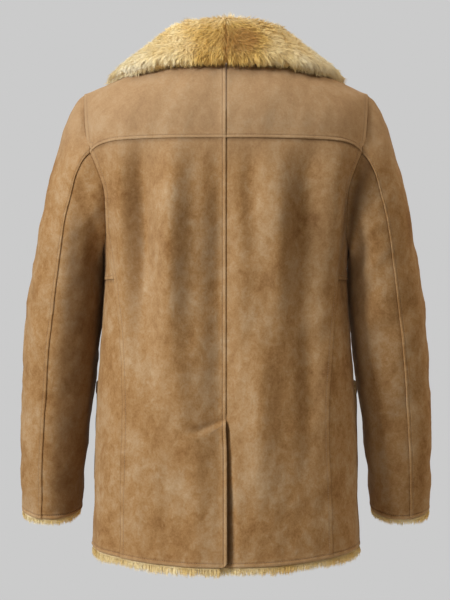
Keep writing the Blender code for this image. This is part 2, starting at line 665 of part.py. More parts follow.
def build_cuff_wool(side):
    """Wool of the sleeve's inside, standing out below the cuff all round."""
    turns = np.linspace(0, 2 * math.pi, 32, endpoint=False)
    edge = sleeve_section(side, SLEEVE[-1], 1.0, 0.0, turns)
    drop = unit(edge - sleeve_section(side, SLEEVE[-2], 1.0, 0.0, turns))
    inward = unit(sleeve_section(side, SLEEVE[-1], 1.0, WALL, turns) - edge)
    uneven = 1 + 0.12 * np.sin(5 * turns + side) + 0.08 * np.sin(11 * turns + 2)
    length = CUFF_WOOL * uneven[:, None]
    corners = [
        edge + inward * 0.0008 + drop * WOOL_START,
        edge + inward * 0.0010 + drop * length,
        edge + inward * 0.0050 + drop * length,
        edge + inward * 0.0056 + drop * WOOL_START,
    ]
    tube(side_name("cuff_wool", side), side, np.stack(corners, 1), WOOL, joined=True)


def build_hem_wool(side):
    """Wool of the body's inside, standing out below the hem from the vent round to the front edge."""
    flat = 0.030
    start = 0.0095 if side > 0 else -UNDERLAP + 0.001
    backs = np.linspace(start, flat, 4 if side > 0 else 7)[:-1]
    turns = np.linspace(turn_of("back", flat, HEM_HEIGHT), turn_of("front", flat, HEM_HEIGHT), 36)
    fronts = np.linspace(flat, -WRAP + 0.001, 6)[1:]
    level, _ = around(turns, np.full(turns.shape, HEM_HEIGHT))
    parts = (
        lower("back", backs, hem_line(backs, 1.0)),
        around(turns, hem_line(level[:, 0], level[:, 1])),
        lower("front", fronts, hem_line(fronts, -1.0)),
    )
    points, normals = (np.concatenate([part[i] for part in parts]) for i in (0, 1))
    place = np.arange(len(points))
    uneven = 1 + 0.09 * np.sin(1.9 * place + side) + 0.08 * np.sin(0.83 * place + 1)
    skin = dressed(side, points, normals)
    layers = []
    for near, lower_near in ((0.0010, 0.0014), (0.0056, 0.0050)):
        top = skin - normals * near
        tips = skin - normals * lower_near
        top[:, 2] -= WOOL_START
        tips[:, 2] -= HEM_WOOL * uneven
        layers.append(np.stack([top, tips]))
    cloth("hem_wool", side, *layers, material=WOOL)


def neck_seam(turn):
    """The neck seam at a turn, in degrees, from the centre back."""
    x = np.array(NECK_HALF_WIDTH * math.sin(math.radians(turn)))
    face = "back" if turn <= 90 else "front"
    return upper(face, x, neck_rise(face, x))[0]


def collar_station(turn):
    """Middle of the collar's fold and of its outer edge at a turn."""
    values = np.array([along(COLLAR, field, turn) for field in Station._fields[1:]])
    return values[:3], values[3:]


def collar_section(turn):
    """Stand, fold and fall of the collar in one closed line, at a turn from the centre back."""
    up = np.array([0, 0, 1.0])
    out = np.array([math.sin(math.radians(turn)), math.cos(math.radians(turn)), 0])
    roll, edge = collar_station(turn)
    seat = neck_seam(turn)
    ahead = np.add(*collar_station(min(turn + 2, COLLAR[-1].turn)))
    behind = np.add(*collar_station(max(turn - 2, 0)))
    at_centre = turn < 1
    if at_centre:
        roll[0] = edge[0] = seat[0] = 2 * SEAM
    fall = unit(edge - roll)
    face = unit(np.cross(ahead - behind, fall))
    face = face * np.sign(face @ (out + up))
    if at_centre:
        face[0] = fall[0] = 0
    foot = seat + up * (0.0015 + 0.0030 * ease((turn - 120) / 30))
    half = COLLAR_HALF
    return [
        foot + out * 0.0005,
        foot - out * 0.0085,
        (foot + roll) / 2 - out * 0.0095,
        roll - out * half,
        roll + unit(up + face - out) * half,
        roll + face * half * 1.05,
        roll + (edge - roll) * 0.35 + face * half * 1.05,
        roll + (edge - roll) * 0.70 + face * half * 1.20,
        edge + face * half * 0.9,
        edge + fall * half,
        edge - face * half * 0.8 + fall * half * 0.3,
        (roll + edge) / 2 - face * half * 0.75,
        roll + fall * half * 0.9 - face * half * 0.6,
        (foot + roll) / 2 + out * 0.0015,
    ]


def build_collar(side):
    """Half of the collar, from the seam at the centre back to the centre front."""
    turns = [0.6, *np.linspace(12, 162, 15), 170, 174]
    tube(side_name("collar", side), side, [collar_section(turn) for turn in turns], WOOL)


def build_buttons():
    """Turned horn buttons with a dished face, on the edge of the left front."""
    profile = ((0.93, 0), (1, 0.0010), (1, 0.0038), (0.93, 0.0050), (0.80, 0.0050), (0.67, 0.0038))
    turns = np.linspace(0, 2 * math.pi, 20, endpoint=False)[:, None]
    for number, height in enumerate(BUTTON_HEIGHTS, 1):
        points, normals = lower("front", np.zeros(1), np.array([height]))
        seat, out = dressed(1, points, normals, 0.0008)[0], normals[0]
        circle = np.cos(turns) * (1, 0, 0) + np.sin(turns) * np.cross(out, (1, 0, 0))
        sections = [seat + out * rise + circle * BUTTON_RADIUS * share for share, rise in profile]
        tube(f"button_{number}", 1, sections, HORN)


for old in list(bpy.data.objects):
    bpy.data.objects.remove(old, do_unlink=True)
COAT = bpy.data.collections.new("shearling_coat")
bpy.context.scene.collection.children.link(COAT)

for SIDE in (1, -1):
    yoke_arm = build_yoke(SIDE)
    back_arm = build_back(SIDE)
    *side_arm, front_seam = build_side(SIDE)
    front_arm = build_front(SIDE, front_seam)
    armhole = [
        np.concatenate([yoke, back[1:-1], under, front[::-1][1:-1]])
        for yoke, back, under, front in zip(yoke_arm, back_arm, side_arm, front_arm)
    ]
    build_sleeve(SIDE, *armhole, hind=len(yoke_arm[0]) - 1)
    build_cuff_wool(SIDE)
    build_hem_wool(SIDE)
    build_pocket(SIDE)
    build_collar(SIDE)
build_buttons()
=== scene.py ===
import math
from collections import namedtuple

import bmesh
import bpy
import numpy as np
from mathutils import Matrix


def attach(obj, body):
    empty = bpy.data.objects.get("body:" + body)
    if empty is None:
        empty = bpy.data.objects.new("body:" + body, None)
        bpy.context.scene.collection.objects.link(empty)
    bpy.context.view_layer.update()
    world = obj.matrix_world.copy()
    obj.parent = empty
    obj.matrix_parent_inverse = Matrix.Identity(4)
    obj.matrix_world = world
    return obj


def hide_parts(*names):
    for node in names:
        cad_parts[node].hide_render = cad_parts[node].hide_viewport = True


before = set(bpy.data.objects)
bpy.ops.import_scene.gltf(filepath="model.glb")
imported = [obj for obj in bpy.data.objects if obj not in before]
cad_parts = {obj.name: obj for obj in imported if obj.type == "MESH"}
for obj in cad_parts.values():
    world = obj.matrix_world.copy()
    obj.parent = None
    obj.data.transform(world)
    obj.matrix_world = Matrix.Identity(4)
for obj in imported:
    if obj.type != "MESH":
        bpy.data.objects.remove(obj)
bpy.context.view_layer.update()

# ---------------------------------------------------------------------------------------------
# The studio. The coat is shown as if worn, against a plain grey ground: a large soft lamp on
# the wearer's left lights it from behind and above, and four weaker ones fill the shade from
# behind, above, the wearer's right and the front.
# ---------------------------------------------------------------------------------------------

ROOM_SEEN = 0.597
ROOM_LIGHT = 0.10
FLOOR_HEIGHT = -1.45

lens = bpy.data.cameras.new("camera")
lens.lens = 112.5
lens.sensor_width = 36
camera = bpy.data.objects.new("camera", lens)
camera.location = (0.0016, 3.0, -0.369)
camera.rotation_euler = (math.radians(90), 0, math.radians(180))
bpy.context.scene.collection.objects.link(camera)
bpy.context.scene.camera = camera
bpy.context.scene.view_settings.view_transform = "Standard"


def lamp(name, place, aim, size, power, colour):
    """A soft square lamp at a place, turned to a point."""
    light = bpy.data.lights.new(name, "AREA")
    light.size = size
    light.energy = power
    light.color = colour
    stand = bpy.data.objects.new(name, light)
    away = np.subtract(place, aim)
    stand.location = place
    stand.rotation_euler = (
        math.acos(away[2] / np.linalg.norm(away)), 0, math.atan2(away[1], away[0]) + math.pi / 2
    )
    bpy.context.scene.collection.objects.link(stand)


lamp("key_lamp", (2.6, 2.0, 1.45), (0, 0, -0.35), 1.1, 164, (0.87, 0.91, 1))
lamp("low_lamp", (-0.2, 3.5, -0.2), (0, 0, -0.35), 1.8, 9, (1, 0.93, 0.85))
lamp("top_lamp", (0, 0.6, 2.5), (0, 0, -0.1), 1.8, 34, (1, 0.98, 0.94))
lamp("fill_lamp", (-2.8, -0.7, 1.3), (0, 0, -0.4), 1.6, 45, (1, 0.86, 0.70))
lamp("front_lamp", (0, -2.8, 1.6), (0, 0, -0.35), 2.0, 50, (1, 0.98, 0.95))

room = bpy.data.worlds.new("room")
bpy.context.scene.world = room
room.use_nodes = True
room.node_tree.nodes.clear()
seen = room.node_tree.nodes.new("ShaderNodeBackground")
seen.inputs["Color"].default_value = (ROOM_SEEN, ROOM_SEEN, ROOM_SEEN, 1)
lit = room.node_tree.nodes.new("ShaderNodeBackground")
lit.inputs["Color"].default_value = (1, 0.84, 0.68, 1)
lit.inputs["Strength"].default_value = ROOM_LIGHT
path = room.node_tree.nodes.new("ShaderNodeLightPath")
either = room.node_tree.nodes.new("ShaderNodeMixShader")
room.node_tree.links.new(path.outputs["Is Camera Ray"], either.inputs[0])
room.node_tree.links.new(lit.outputs[0], either.inputs[1])
room.node_tree.links.new(seen.outputs[0], either.inputs[2])
ground = room.node_tree.nodes.new("ShaderNodeOutputWorld")
room.node_tree.links.new(either.outputs[0], ground.inputs["Surface"])

disc = bmesh.new()
bmesh.ops.create_circle(disc, cap_ends=True, radius=3.4, segments=96)
for corner in disc.verts:
    corner.co.z = FLOOR_HEIGHT
floor_mesh = bpy.data.meshes.new("floor")
disc.to_mesh(floor_mesh)
disc.free()
floor_mesh.materials.append(bpy.data.materials.new("floor_paint"))
floor_mesh.materials[0].use_nodes = True
paint = floor_mesh.materials[0].node_tree.nodes["Principled BSDF"]
paint.inputs["Base Color"].default_value = (0.62, 0.62, 0.62, 1)
paint.inputs["Roughness"].default_value = 0.9
floor = bpy.data.objects.new("floor", floor_mesh)
bpy.context.scene.collection.objects.link(floor)

# ---------------------------------------------------------------------------------------------
# Back yoke, two halves. Tanned sheepskin, suede side out and clipped wool inside, 6 mm thick.
# The left half laps over the right at the centre, and both lap over the back and the sleeves,
# where a row of stitches 5 mm in from the raw edge holds them down.
# ---------------------------------------------------------------------------------------------

WALL = 0.006              # skin and clipped wool together
SEAM = 0.00005            # half of the gap between pieces that meet
ROUND = 2.35              # power of the body's rounded section: 2 is an oval, more is squarer
NECK_HALF_WIDTH, NECK_BACK, NECK_FRONT = 0.078, 0.079, 0.106
YOKE_HEIGHT, CHEST_HEIGHT = -0.1203, -0.140
SHOULDER_HEIGHT, SHOULDER_SLOPE, SHOULDER_WIDTH = 0.0228, 0.432, 0.2265
NECK_CURVE = 0.0092       # how far the shoulder line rises within the neck
NECK_SHARES = (0.19, 0.27, 0.30, 0.32, 0.335, NECK_HALF_WIDTH / SHOULDER_WIDTH)
ARMHOLE_MIDDLE = (0, 0, -0.165)
UNDERARM_HEIGHT, SIDE_JOIN_HEIGHT, WAIST_SEAM_HEIGHT = -0.287, -0.262, -0.337
VENT_HEIGHT, VENT_LIFT, VENT_DIP = -0.5535, 0.0036, 0.0050
HEM_HEIGHT, HEM_DROP_BACK, HEM_DROP_FRONT, HEM_HALF_WIDTH = -0.7595, 0.018, 0.010, 0.2140
WRAP_LIFT = 0.0038        # how far the left front stands out over the right one
STEP = 0.0075             # spacing of the points that shape the skin
STITCH_IN = 0.0050        # from a lapped edge to its stitches

Level = namedtuple("Level", "height half_width back_depth front_depth")
TORSO = (
    Level(-0.800, 0.2145, 0.1420, 0.1410),
    Level(-0.760, 0.2137, 0.1415, 0.1405),
    Level(-0.700, 0.2112, 0.1400, 0.1390),
    Level(-0.625, 0.2085, 0.1380, 0.1375),
    Level(-0.550, 0.2060, 0.1360, 0.1360),
    Level(-0.487, 0.2035, 0.1335, 0.1350),
    Level(-0.420, 0.1990, 0.1305, 0.1340),
    Level(-0.353, 0.1945, 0.1290, 0.1340),
    Level(-0.300, 0.1938, 0.1310, 0.1350),
    Level(-0.262, 0.1975, 0.1330, 0.1350),
    Level(-0.235, 0.2030, 0.1340, 0.1340),
    Level(-0.200, 0.2150, 0.1335, 0.1310),
    Level(-0.170, 0.2270, 0.1315, 0.1270),
    Level(-0.139, 0.2360, 0.1290, 0.1220),
    Level(-0.110, 0.2400, 0.1270, 0.1180),
)
Edge = namedtuple("Edge", "height back front")
SIDE_SEAM = (
    Edge(-0.800, 0.1655, 0.1730),
    Edge(-0.660, 0.1625, 0.1700),
    Edge(-0.550, 0.1600, 0.1680),
    Edge(-0.470, 0.1630, 0.1680),
    Edge(-0.400, 0.1680, 0.1690),
    Edge(-0.337, 0.1755, 0.1710),
    Edge(-0.298, 0.1820, 0.1750),
    Edge(-0.262, 0.1888, 0.1800),
)
ARMHOLE = (
    Edge(-0.262, 0.1888, 0.1800),
    Edge(-0.235, 0.1888, 0.1790),
    Edge(-0.200, 0.1912, 0.1830),
    Edge(-0.175, 0.2000, 0.1920),
    Edge(-0.139, 0.2125, 0.2090),
)
# Vertical folds of the hanging skin: a trough, or with a negative depth a ridge. Each starts at
# x and drifts by "lean" for every metre down.
Fold = namedtuple("Fold", "face x lean top bottom width depth")
FOLDS = (
    Fold("back", 0.166, 0.03, -0.125, -0.420, 0.014, -0.0040),
    Fold("back", 0.132, 0.00, -0.118, -0.500, 0.018, 0.0178),
    Fold("back", 0.081, -0.02, -0.120, -0.560, 0.022, -0.0175),
    Fold("back", 0.008, 0.00, -0.125, -0.560, 0.022, 0.0112),
    Fold("back", -0.036, 0.02, -0.125, -0.340, 0.015, 0.0046),
    Fold("back", -0.076, 0.01, -0.120, -0.500, 0.022, -0.0090),
    Fold("back", -0.122, 0.01, -0.118, -0.540, 0.020, 0.0100),
    Fold("back", -0.170, 0.00, -0.118, -0.410, 0.020, -0.0145),
    Fold("back", 0.075, 0.04, -0.440, -0.690, 0.022, -0.0060),
    Fold("back", 0.006, 0.00, -0.390, -0.740, 0.026, 0.0100),
    Fold("back", -0.054, 0.00, -0.400, -0.740, 0.022, -0.0080),
    Fold("back", -0.132, 0.00, -0.400, -0.700, 0.020, 0.0085),
    Fold("front", 0.135, 0.02, -0.150, -0.430, 0.022, 0.0050),
    Fold("front", 0.090, -0.03, -0.220, -0.460, 0.024, -0.0030),
    Fold("front", -0.128, 0.02, -0.160, -0.450, 0.022, 0.0050),
    Fold("front", -0.085, -0.02, -0.200, -0.420, 0.026, -0.0030),
)


def curve(keys, values, at):
    """Values between keys, on a smooth curve through the given ones."""
    keys, values = np.asarray(keys, float), np.asarray(values, float)
    slopes = np.gradient(values, keys)
    at = np.clip(at, keys[0], keys[-1])
    i = np.clip(np.searchsorted(keys, at) - 1, 0, len(keys) - 2)
    step = keys[i + 1] - keys[i]
    s = (at - keys[i]) / step
    ends = values[i] * (1 + 2 * s) * (1 - s) ** 2 + values[i + 1] * s**2 * (3 - 2 * s)
    return ends + step * s * (1 - s) * (slopes[i] * (1 - s) - slopes[i + 1] * s)


def along(rows, column, at):
    """A named column of a table, at a value of the table's first column."""
    return curve([row[0] for row in rows], [getattr(row, column) for row in rows], at)


def ease(value):
    """0 below 0, 1 above 1, and smooth between."""
    value = np.clip(value, 0, 1)
    return value * value * (3 - 2 * value)


def unit(vectors):
    return vectors / np.linalg.norm(vectors, axis=-1, keepdims=True)


def refine(keys, step):
    """The same values with others between them, none further apart than a step."""
    runs = [
        np.linspace(a, b, max(1, math.ceil(abs(b - a) / step)), endpoint=False)
        for a, b in zip(keys, keys[1:])
    ]
    return np.append(np.concatenate(runs), keys[-1])


def waves(points, size, seed, terms=9):
    """Smooth uneven waves about a size across, mostly within 1 either way."""
    random = np.random.default_rng(seed)
    total = np.zeros(points.shape[:-1])
    for _ in range(terms):
        direction = unit(random.normal(size=3)) * random.uniform(0.6, 1.5)
        total += np.sin(points @ direction * (2 * math.pi / size) + random.uniform(0, 6.3))
    return total / math.sqrt(terms)


def yoke_line(x):
    share = np.abs(x) / ARMHOLE[-1].back
    return YOKE_HEIGHT - 0.0040 * share**4 - 0.0150 * share**16


def base_line(face, x):
    """Where the surface starts to lean towards the shoulder."""
    return yoke_line(x) if face == "back" else np.full(np.shape(x), CHEST_HEIGHT)


def shoulder_line(x):
    beyond = np.maximum(np.abs(x) - NECK_HALF_WIDTH, 0)
    within = np.clip(1 - (np.abs(x) / NECK_HALF_WIDTH) ** 2, 0, 1)
    return SHOULDER_HEIGHT - SHOULDER_SLOPE * beyond + NECK_CURVE * within


def hem_line(x, y):
    """Height of the skin's edge, lowest at the centre back and centre front."""
    drop = np.where(y >= 0, HEM_DROP_BACK, HEM_DROP_FRONT)
    return HEM_HEIGHT - drop * (1 - np.clip(np.abs(x) / HEM_HALF_WIDTH, 0, 1) ** 2.2)


def armhole_x(face, rise):
    start = getattr(ARMHOLE[-1], face)
    return start + (SHOULDER_WIDTH - start) * np.sin(rise * math.pi / 2) ** 0.6


def edge_x(face, z):
    """Half-width of the back or front at a height below the base line."""
    seam = along(SIDE_SEAM, face, z) - SEAM
    return np.where(z >= SIDE_JOIN_HEIGHT, along(ARMHOLE, face, z), seam)


def plain_y(face, x, z):
    share = 1 - (np.abs(x) / along(TORSO, "half_width", z)) ** ROUND
    depth = along(TORSO, f"{face}_depth", z)
    return (1 if face == "back" else -1) * depth * np.clip(share, 0, None) ** (1 / ROUND)


def outward(points):
    """Direction straight out of the body at points below the base line."""
    x, y, z = np.moveaxis(points, -1, 0)

    def sizes(height):
        depth = np.where(y >= 0, along(TORSO, "back_depth", height), along(TORSO, "front_depth", height))
        return along(TORSO, "half_width", height), depth

    def level(height):
        half, depth = sizes(height)
        return (np.abs(x) / half) ** ROUND + (np.abs(y) / depth) ** ROUND

    step = 1e-4
    half, depth = sizes(z)
    base = np.where(y >= 0, yoke_line(x), CHEST_HEIGHT)
    below = 1 - np.exp(np.minimum(z - base, 0) / 0.03)
    along_x = ROUND * np.sign(x) * np.abs(x) ** (ROUND - 1) / half**ROUND
    along_y = ROUND * np.sign(y) * np.abs(y) ** (ROUND - 1) / depth**ROUND
    along_z = (level(z + step) - level(z - step)) / (2 * step) * below
    return unit(np.stack([along_x, along_y, along_z], -1))


def lower(face, x, z):
    """Points and outward directions below the base line, from the distance off the centre and the height."""
    x, z = np.broadcast_arrays(x, z)
    points = np.stack([x, plain_y(face, x, z), z], -1)
    return points, outward(points)


def upper_form(face, x, rise):
    base = base_line(face, x)
    angle = rise * math.pi / 2
    y = plain_y(face, x, base) * np.cos(angle)
    z = base + (shoulder_line(x) - base) * np.sin(angle)
    return np.stack([x + 0 * rise, y, z], -1)


def upper(face, x, rise):
    """Points and outward directions from the base line, rise 0, up to the shoulder line, rise 1."""
    x, rise = np.broadcast_arrays(x, rise)
    step = 1e-4
    points = upper_form(face, x, rise)
    across = upper_form(face, x + step, rise) - upper_form(face, x - step, rise)
    below = np.clip(rise - step, 0, None)
    up = upper_form(face, x, below + step) - upper_form(face, x, below)
    normals = unit(np.cross(across, up))
    normals = normals * np.sign(np.sum(normals * (points + np.array([0, 0, 0.25])), -1, keepdims=True))
    foot = outward(upper_form(face, x, 0 * rise))
    weight = np.exp(-rise / 0.08)[..., None]
    return points, unit(normals * (1 - weight) + foot * weight)


def neck_rise(face, x):
    """How far up the surface reaches at a distance from the centre: the neck seam, or the shoulder."""
    reach = NECK_BACK if face == "back" else NECK_FRONT
    y = reach * np.sqrt(np.clip(1 - (np.abs(x) / NECK_HALF_WIDTH) ** 2, 0, None))
    return np.arccos(np.clip(y / np.abs(plain_y(face, x, base_line(face, x))), 0, 1)) * 2 / math.pi


def bump(distance, width):
    """1 at no distance, and next to nothing two widths away."""
    return np.exp(-((distance / width) ** 2))


def fold_at(fold, x, z):
    """Distance from the middle line of a fold, and the share of its depth there."""
    share = np.clip((fold.top - z) / (fold.top - fold.bottom), 0, 1)
    off = x - fold.x - fold.lean * (z - fold.top)
    return off, np.sin(math.pi * share**0.7) ** 1.5 * bump(off, fold.width)


def push(side, points):
    """How far the skin stands out from its plain form: at the vent, where the fronts wrap, in folds.

    The left half stands out below the vent's slanting top line, where it is creased along the
    line and dented at its far end. The right half sinks in under it.
    """
    x, y, z = np.moveaxis(points, -1, 0)
    back = y >= 0
    centre = 1 - ease((x - 0.030) / 0.045)
    if side > 0:
        open_line = VENT_HEIGHT + 0.003 - 0.42 * np.clip(x, 0, 0.042)
        vent = VENT_LIFT * ease((open_line - z) / 0.012) * (1 - ease((x - 0.040) / 0.035))
        crease = 0.0022 * bump(z - open_line, 0.0030) * (1 - ease((x - 0.034) / 0.012))
        dent = 0.0030 * np.exp(-(((x - 0.043) / 0.010) ** 2) - (((z - VENT_HEIGHT + 0.016) / 0.008) ** 2))
        vent = vent - crease - dent
        wrap = WRAP_LIFT * centre
    else:
        widening = 0.006 + 0.016 * ease((VENT_HEIGHT - z) / 0.2)
        vent = -VENT_DIP * ease((VENT_HEIGHT - z) / 0.022) * (1 - ease((x - 0.001) / widening))
        wrap = -WRAP_LIFT * centre
    out = np.where(back, vent, wrap)
    seam = np.where(back, edge_x("back", z), edge_x("front", z))
    inside = 1 - np.clip(np.abs(x) / seam, 0, 1) ** 10
    for fold in FOLDS:
        shape = fold_at(fold, side * x, z)[1]
        out = out - np.where(back == (fold.face == "back"), fold.depth * shape * inside, 0)
    true = points * (side, 1, 1)
    soft = 0.0012 * waves(true * (1, 1, 0.45), 0.075, 3) + 0.0006 * waves(true * (1, 1, 0.7), 0.030, 5)
    return out + soft * np.maximum(inside, ease((SIDE_JOIN_HEIGHT - 0.03 - z) / 0.05))


def dressed(side, points, normals, extra=0.0):
    """The skin as it hangs: plain points moved out by the push and by anything extra."""
    return points + normals * (push(side, points) + extra)[..., None]


def across_seam(points):
    """The same points through the thickness of the armhole seam, towards the armhole's middle."""
    return points + unit((np.array(ARMHOLE_MIDDLE) - points) * (0, 1, 1)) * WALL


# A lapped edge, in from the edge: rounded over, full, drawn down by its stitches, then flat.
LAPS = np.array([0, 0.0004, 0.0012, 0.0026, 0.0040, STITCH_IN, 0.0060, 0.0078, 0.0105])
LAP_STITCH = LAPS.tolist().index(STITCH_IN)
LAP_REACH = (*LAPS, 0.014)


def lapped(distance, rise=0.0013):
    """Height of a lapped edge at a distance in from it."""
    return rise * np.interp(distance, LAP_REACH, (0.40, 0.85, 1.02, 1.06, 0.85, 0.25, 0.58, 0.40, 0.12, 0))


def edge_wear_and_light(distance, much=0.42):
    """Paleness from use and a painted highlight on a lapped edge's raised band, with dirt and painted shade
    at its stitches as less than nothing.
    """
    return much * np.interp(distance, LAP_REACH, (-0.5, 0.3, 0.9, 0.8, 0.4, -0.5, 0.2, 0.15, 0.05, 0))


def tucked(distance):
    """Height of an edge that is drawn in under a lapped one."""
    return -0.0005 * bump(distance, 0.0030)


def dirt_and_shade(distance):
    """Dirt and painted shade along the foot of a lapped edge, on the piece under it."""
    return -0.4 * bump(distance, 0.0012)


def side_name(name, side):
    return f"{name}_{'left' if side > 0 else 'right'}"


class Wire:
    """A socket of a node tree: sums on it add Math nodes, and node() adds any other."""

    def __init__(self, tree, socket=None):
        self.tree, self.socket = tree, socket

    def node(self, kind, settings=(), inputs=(), output=0):
        made = self.tree.nodes.new(kind)
        for name, value in dict(settings).items():
            if name == "stops":
                made.color_ramp.elements.remove(made.color_ramp.elements[1])
                for number, (place, colour) in enumerate(value):
                    stop = made.color_ramp.elements[0] if number == 0 else made.color_ramp.elements.new(place)
                    stop.position, stop.color = place, (*colour, 1)
            else:
                setattr(made, name, value)
        for name, value in dict(inputs).items():
            socket = made.inputs[name]
            if isinstance(value, Wire):
                self.tree.links.new(value.socket, socket)
            else:
                socket.default_value = (*value, 1) if socket.type == "RGBA" else value
        return Wire(self.tree, made.outputs[output])

    def sum(self, operation, first, second=0.0, clamp=False):
        settings = {"operation": operation, "use_clamp": clamp}
        return self.node("ShaderNodeMath", settings, {0: first, 1: second})

    def __add__(self, other):
        return self.sum("ADD", self, other)

    def __sub__(self, other):
        return self.sum("SUBTRACT", self, other)

    def __rsub__(self, other):
        return self.sum("SUBTRACT", other, self)

    def __mul__(self, other):
        return self.sum("MULTIPLY", self, other)

    __radd__, __rmul__ = __add__, __mul__

    def held(self):
        """The same value, held between 0 and 1."""
        return self.sum("ADD", self, 0.0, clamp=True)

    def blend(self, first, second):
        """A colour between two, by this value."""
        mixed = {"data_type": "RGBA", "clamp_factor": True}
        return self.node("ShaderNodeMix", mixed, {0: self, 6: first, 7: second}, output=2)


def start_finish(name):
    """A new material, with the wire that its nodes hang on."""
    finish = bpy.data.materials.new(name)
    finish.use_nodes = True
    return finish, Wire(finish.node_tree)


def end_finish(finish, values):
    """Sets and links the sockets of the material's own shader."""
    shader = finish.node_tree.nodes["Principled BSDF"]
    for name, value in values.items():
        if isinstance(value, Wire):
            finish.node_tree.links.new(value.socket, shader.inputs[name])
        else:
            shader.inputs[name].default_value = (*value, 1) if shader.inputs[name].type == "RGBA" else value


def cloudy(wire, scale, detail=2.0, stretch=(1, 1, 1), rough=0.5, swirl=0.0):
    """Noise over the object, at a number of clouds to the metre."""
    place = wire.node("ShaderNodeTexCoord", output="Object")
    place = wire.node("ShaderNodeVectorMath", {"operation": "MULTIPLY"}, {0: place, 1: stretch})
    values = {"Vector": place, "Scale": scale, "Detail": detail, "Roughness": rough, "Distortion": swirl}
    return wire.node("ShaderNodeTexNoise", inputs=values)


def raised(wire, height, depth, strength=1.0):
    """A bump of a height from 0 to 1 over a depth in metres."""
    return wire.node("ShaderNodeBump", inputs={"Strength": strength, "Distance": depth, "Height": height})


def ramp(wire, value, *stops):
    """A colour from stops along a value from 0 to 1."""
    return wire.node("ShaderNodeValToRGB", {"stops": stops}, {0: value})


def painted(wire, name):
    """A value that the mesh carries at its points."""
    return wire.node("ShaderNodeAttribute", {"attribute_name": name}, output="Fac")


# Suede: tan, brushed into patches a few centimetres wide, less so over the shoulders, where it is
# also painted lighter and greyer as light from above, with a fine nap. The mesh's own value at
# each point rubs it pale with a painted highlight above 0, and soils it and paints shade below 0.
suede, wire = start_finish("suede")
patches = cloudy(wire, 18, 4, (1, 1, 0.75), 0.60, 0.3)
strokes = cloudy(wire, 85, 4, (1, 1, 0.80), 0.60, 0.4)
nap = cloudy(wire, 330, 4, rough=0.7)
fine = cloudy(wire, 1500, 2)
height = wire.node(
    "ShaderNodeSeparateXYZ", inputs={"Vector": wire.node("ShaderNodeTexCoord", output="Object")}, output=2
)
below_shoulders = 1 - ((height + 0.17) * 14).held() * 0.35
tone = 0.5 + ((patches - 0.5) * 0.38 + (strokes - 0.5) * 0.27) * below_shoulders + (nap - 0.5) * 0.22
brown, tan, sand = (0.205, 0.088, 0.023), (0.338, 0.184, 0.069), (0.452, 0.306, 0.164)
colour = ramp(wire, tone, (0.36, brown), (0.49, tan), (0.64, sand))
# Over the shoulders the colour is painted lighter and greyer, as painted light from above.
colour = ((1 - below_shoulders) * 0.8).blend(colour, (0.425, 0.312, 0.195))
wear_and_light = painted(wire, "wear_and_light")
# Above 0 the suede is made pale with a painted highlight, below 0 dark with dirt, painted shade and painted
# shadow.
colour = (wear_and_light * 0.55 * (nap * 0.8 + 0.6)).held().blend(colour, (0.560, 0.390, 0.215))
colour = (wear_and_light * -0.9).held().blend(colour, (0.070, 0.032, 0.012))
end_finish(suede, {
    "Base Color": colour,
    "Roughness": (0.80 + nap * 0.18).held(),
    "Normal": raised(wire, nap * 0.40 + fine * 0.20 + strokes * 0.40, 0.0018, 0.6),
    "Specular IOR Level": 0.10,
    "Sheen Weight": 0.08,
    "Sheen Roughness": 0.40,
    "Sheen Tint": (1.0, 0.84, 0.64),
})

# Clipped wool of the inside: short golden curls.
clipped, wire = start_finish("clipped_wool")
place = wire.node("ShaderNodeTexCoord", output="Object")
curls = wire.node(
    "ShaderNodeTexVoronoi",
    {"feature": "SMOOTH_F1"},
    {"Vector": place, "Scale": 190.0, "Smoothness": 0.6, "Randomness": 1.0},
)
fuzz = cloudy(wire, 700, 4, rough=0.7)
drift = cloudy(wire, 30, 2)
tone = curls * 0.55 + fuzz * 0.30 + drift * 0.25
brown, gold, cream = (0.250, 0.140, 0.045), (0.500, 0.330, 0.130), (0.720, 0.560, 0.320)
end_finish(clipped, {
    "Base Color": ramp(wire, tone, (0.25, brown), (0.50, gold), (0.78, cream)),
    "Roughness": (0.86 + fuzz * 0.12).held(),
    "Normal": raised(wire, curls * 0.65 + fuzz * 0.35, 0.0035, 0.9),
    "Specular IOR Level": 0.15,
    "Sheen Weight": 0.25,
    "Sheen Roughness": 0.5,
    "Sheen Tint": (1.0, 0.93, 0.80),
})


def ring_faces(number):
    """Faces between rows of point numbers, where each row is a closed ring."""
    beside = np.roll(number, -1, axis=1)
    return np.stack([number[:-1], beside[:-1], beside[1:], number[1:]], -1).reshape(-1, 4).tolist()


def mesh_of(name, points, faces, kinds, values, finishes):
    """A closed mesh object, from the finish number of each face and any values for each point."""
    mesh = bpy.data.meshes.new(name)
    mesh.from_pydata(points.tolist(), [], faces)
    mesh.polygons.foreach_set("material_index", kinds)
    for title, value in values.items():
        wide = value.ndim > 1
        layer = mesh.attributes.new(title, "FLOAT_VECTOR" if wide else "FLOAT", "POINT")
        layer.data.foreach_set("vector" if wide else "value", value.astype(np.float32).ravel())
    body = bmesh.new()
    body.from_mesh(mesh)
    bmesh.ops.delete(body, geom=[v for v in body.verts if not v.link_faces], context="VERTS")
    bmesh.ops.recalc_face_normals(body, faces=body.faces)
    body.to_mesh(mesh)
    body.free()
    mesh.shade_smooth()
    mesh.set_sharp_from_angle(angle=math.radians(60))
    for finish in finishes:
        mesh.materials.append(finish)
    piece = bpy.data.objects.new(name, mesh)
    bpy.context.scene.collection.objects.link(piece)
    return piece


SKIN_SHARE = 0.22         # of the wall's thickness that is skin, and the rest is wool


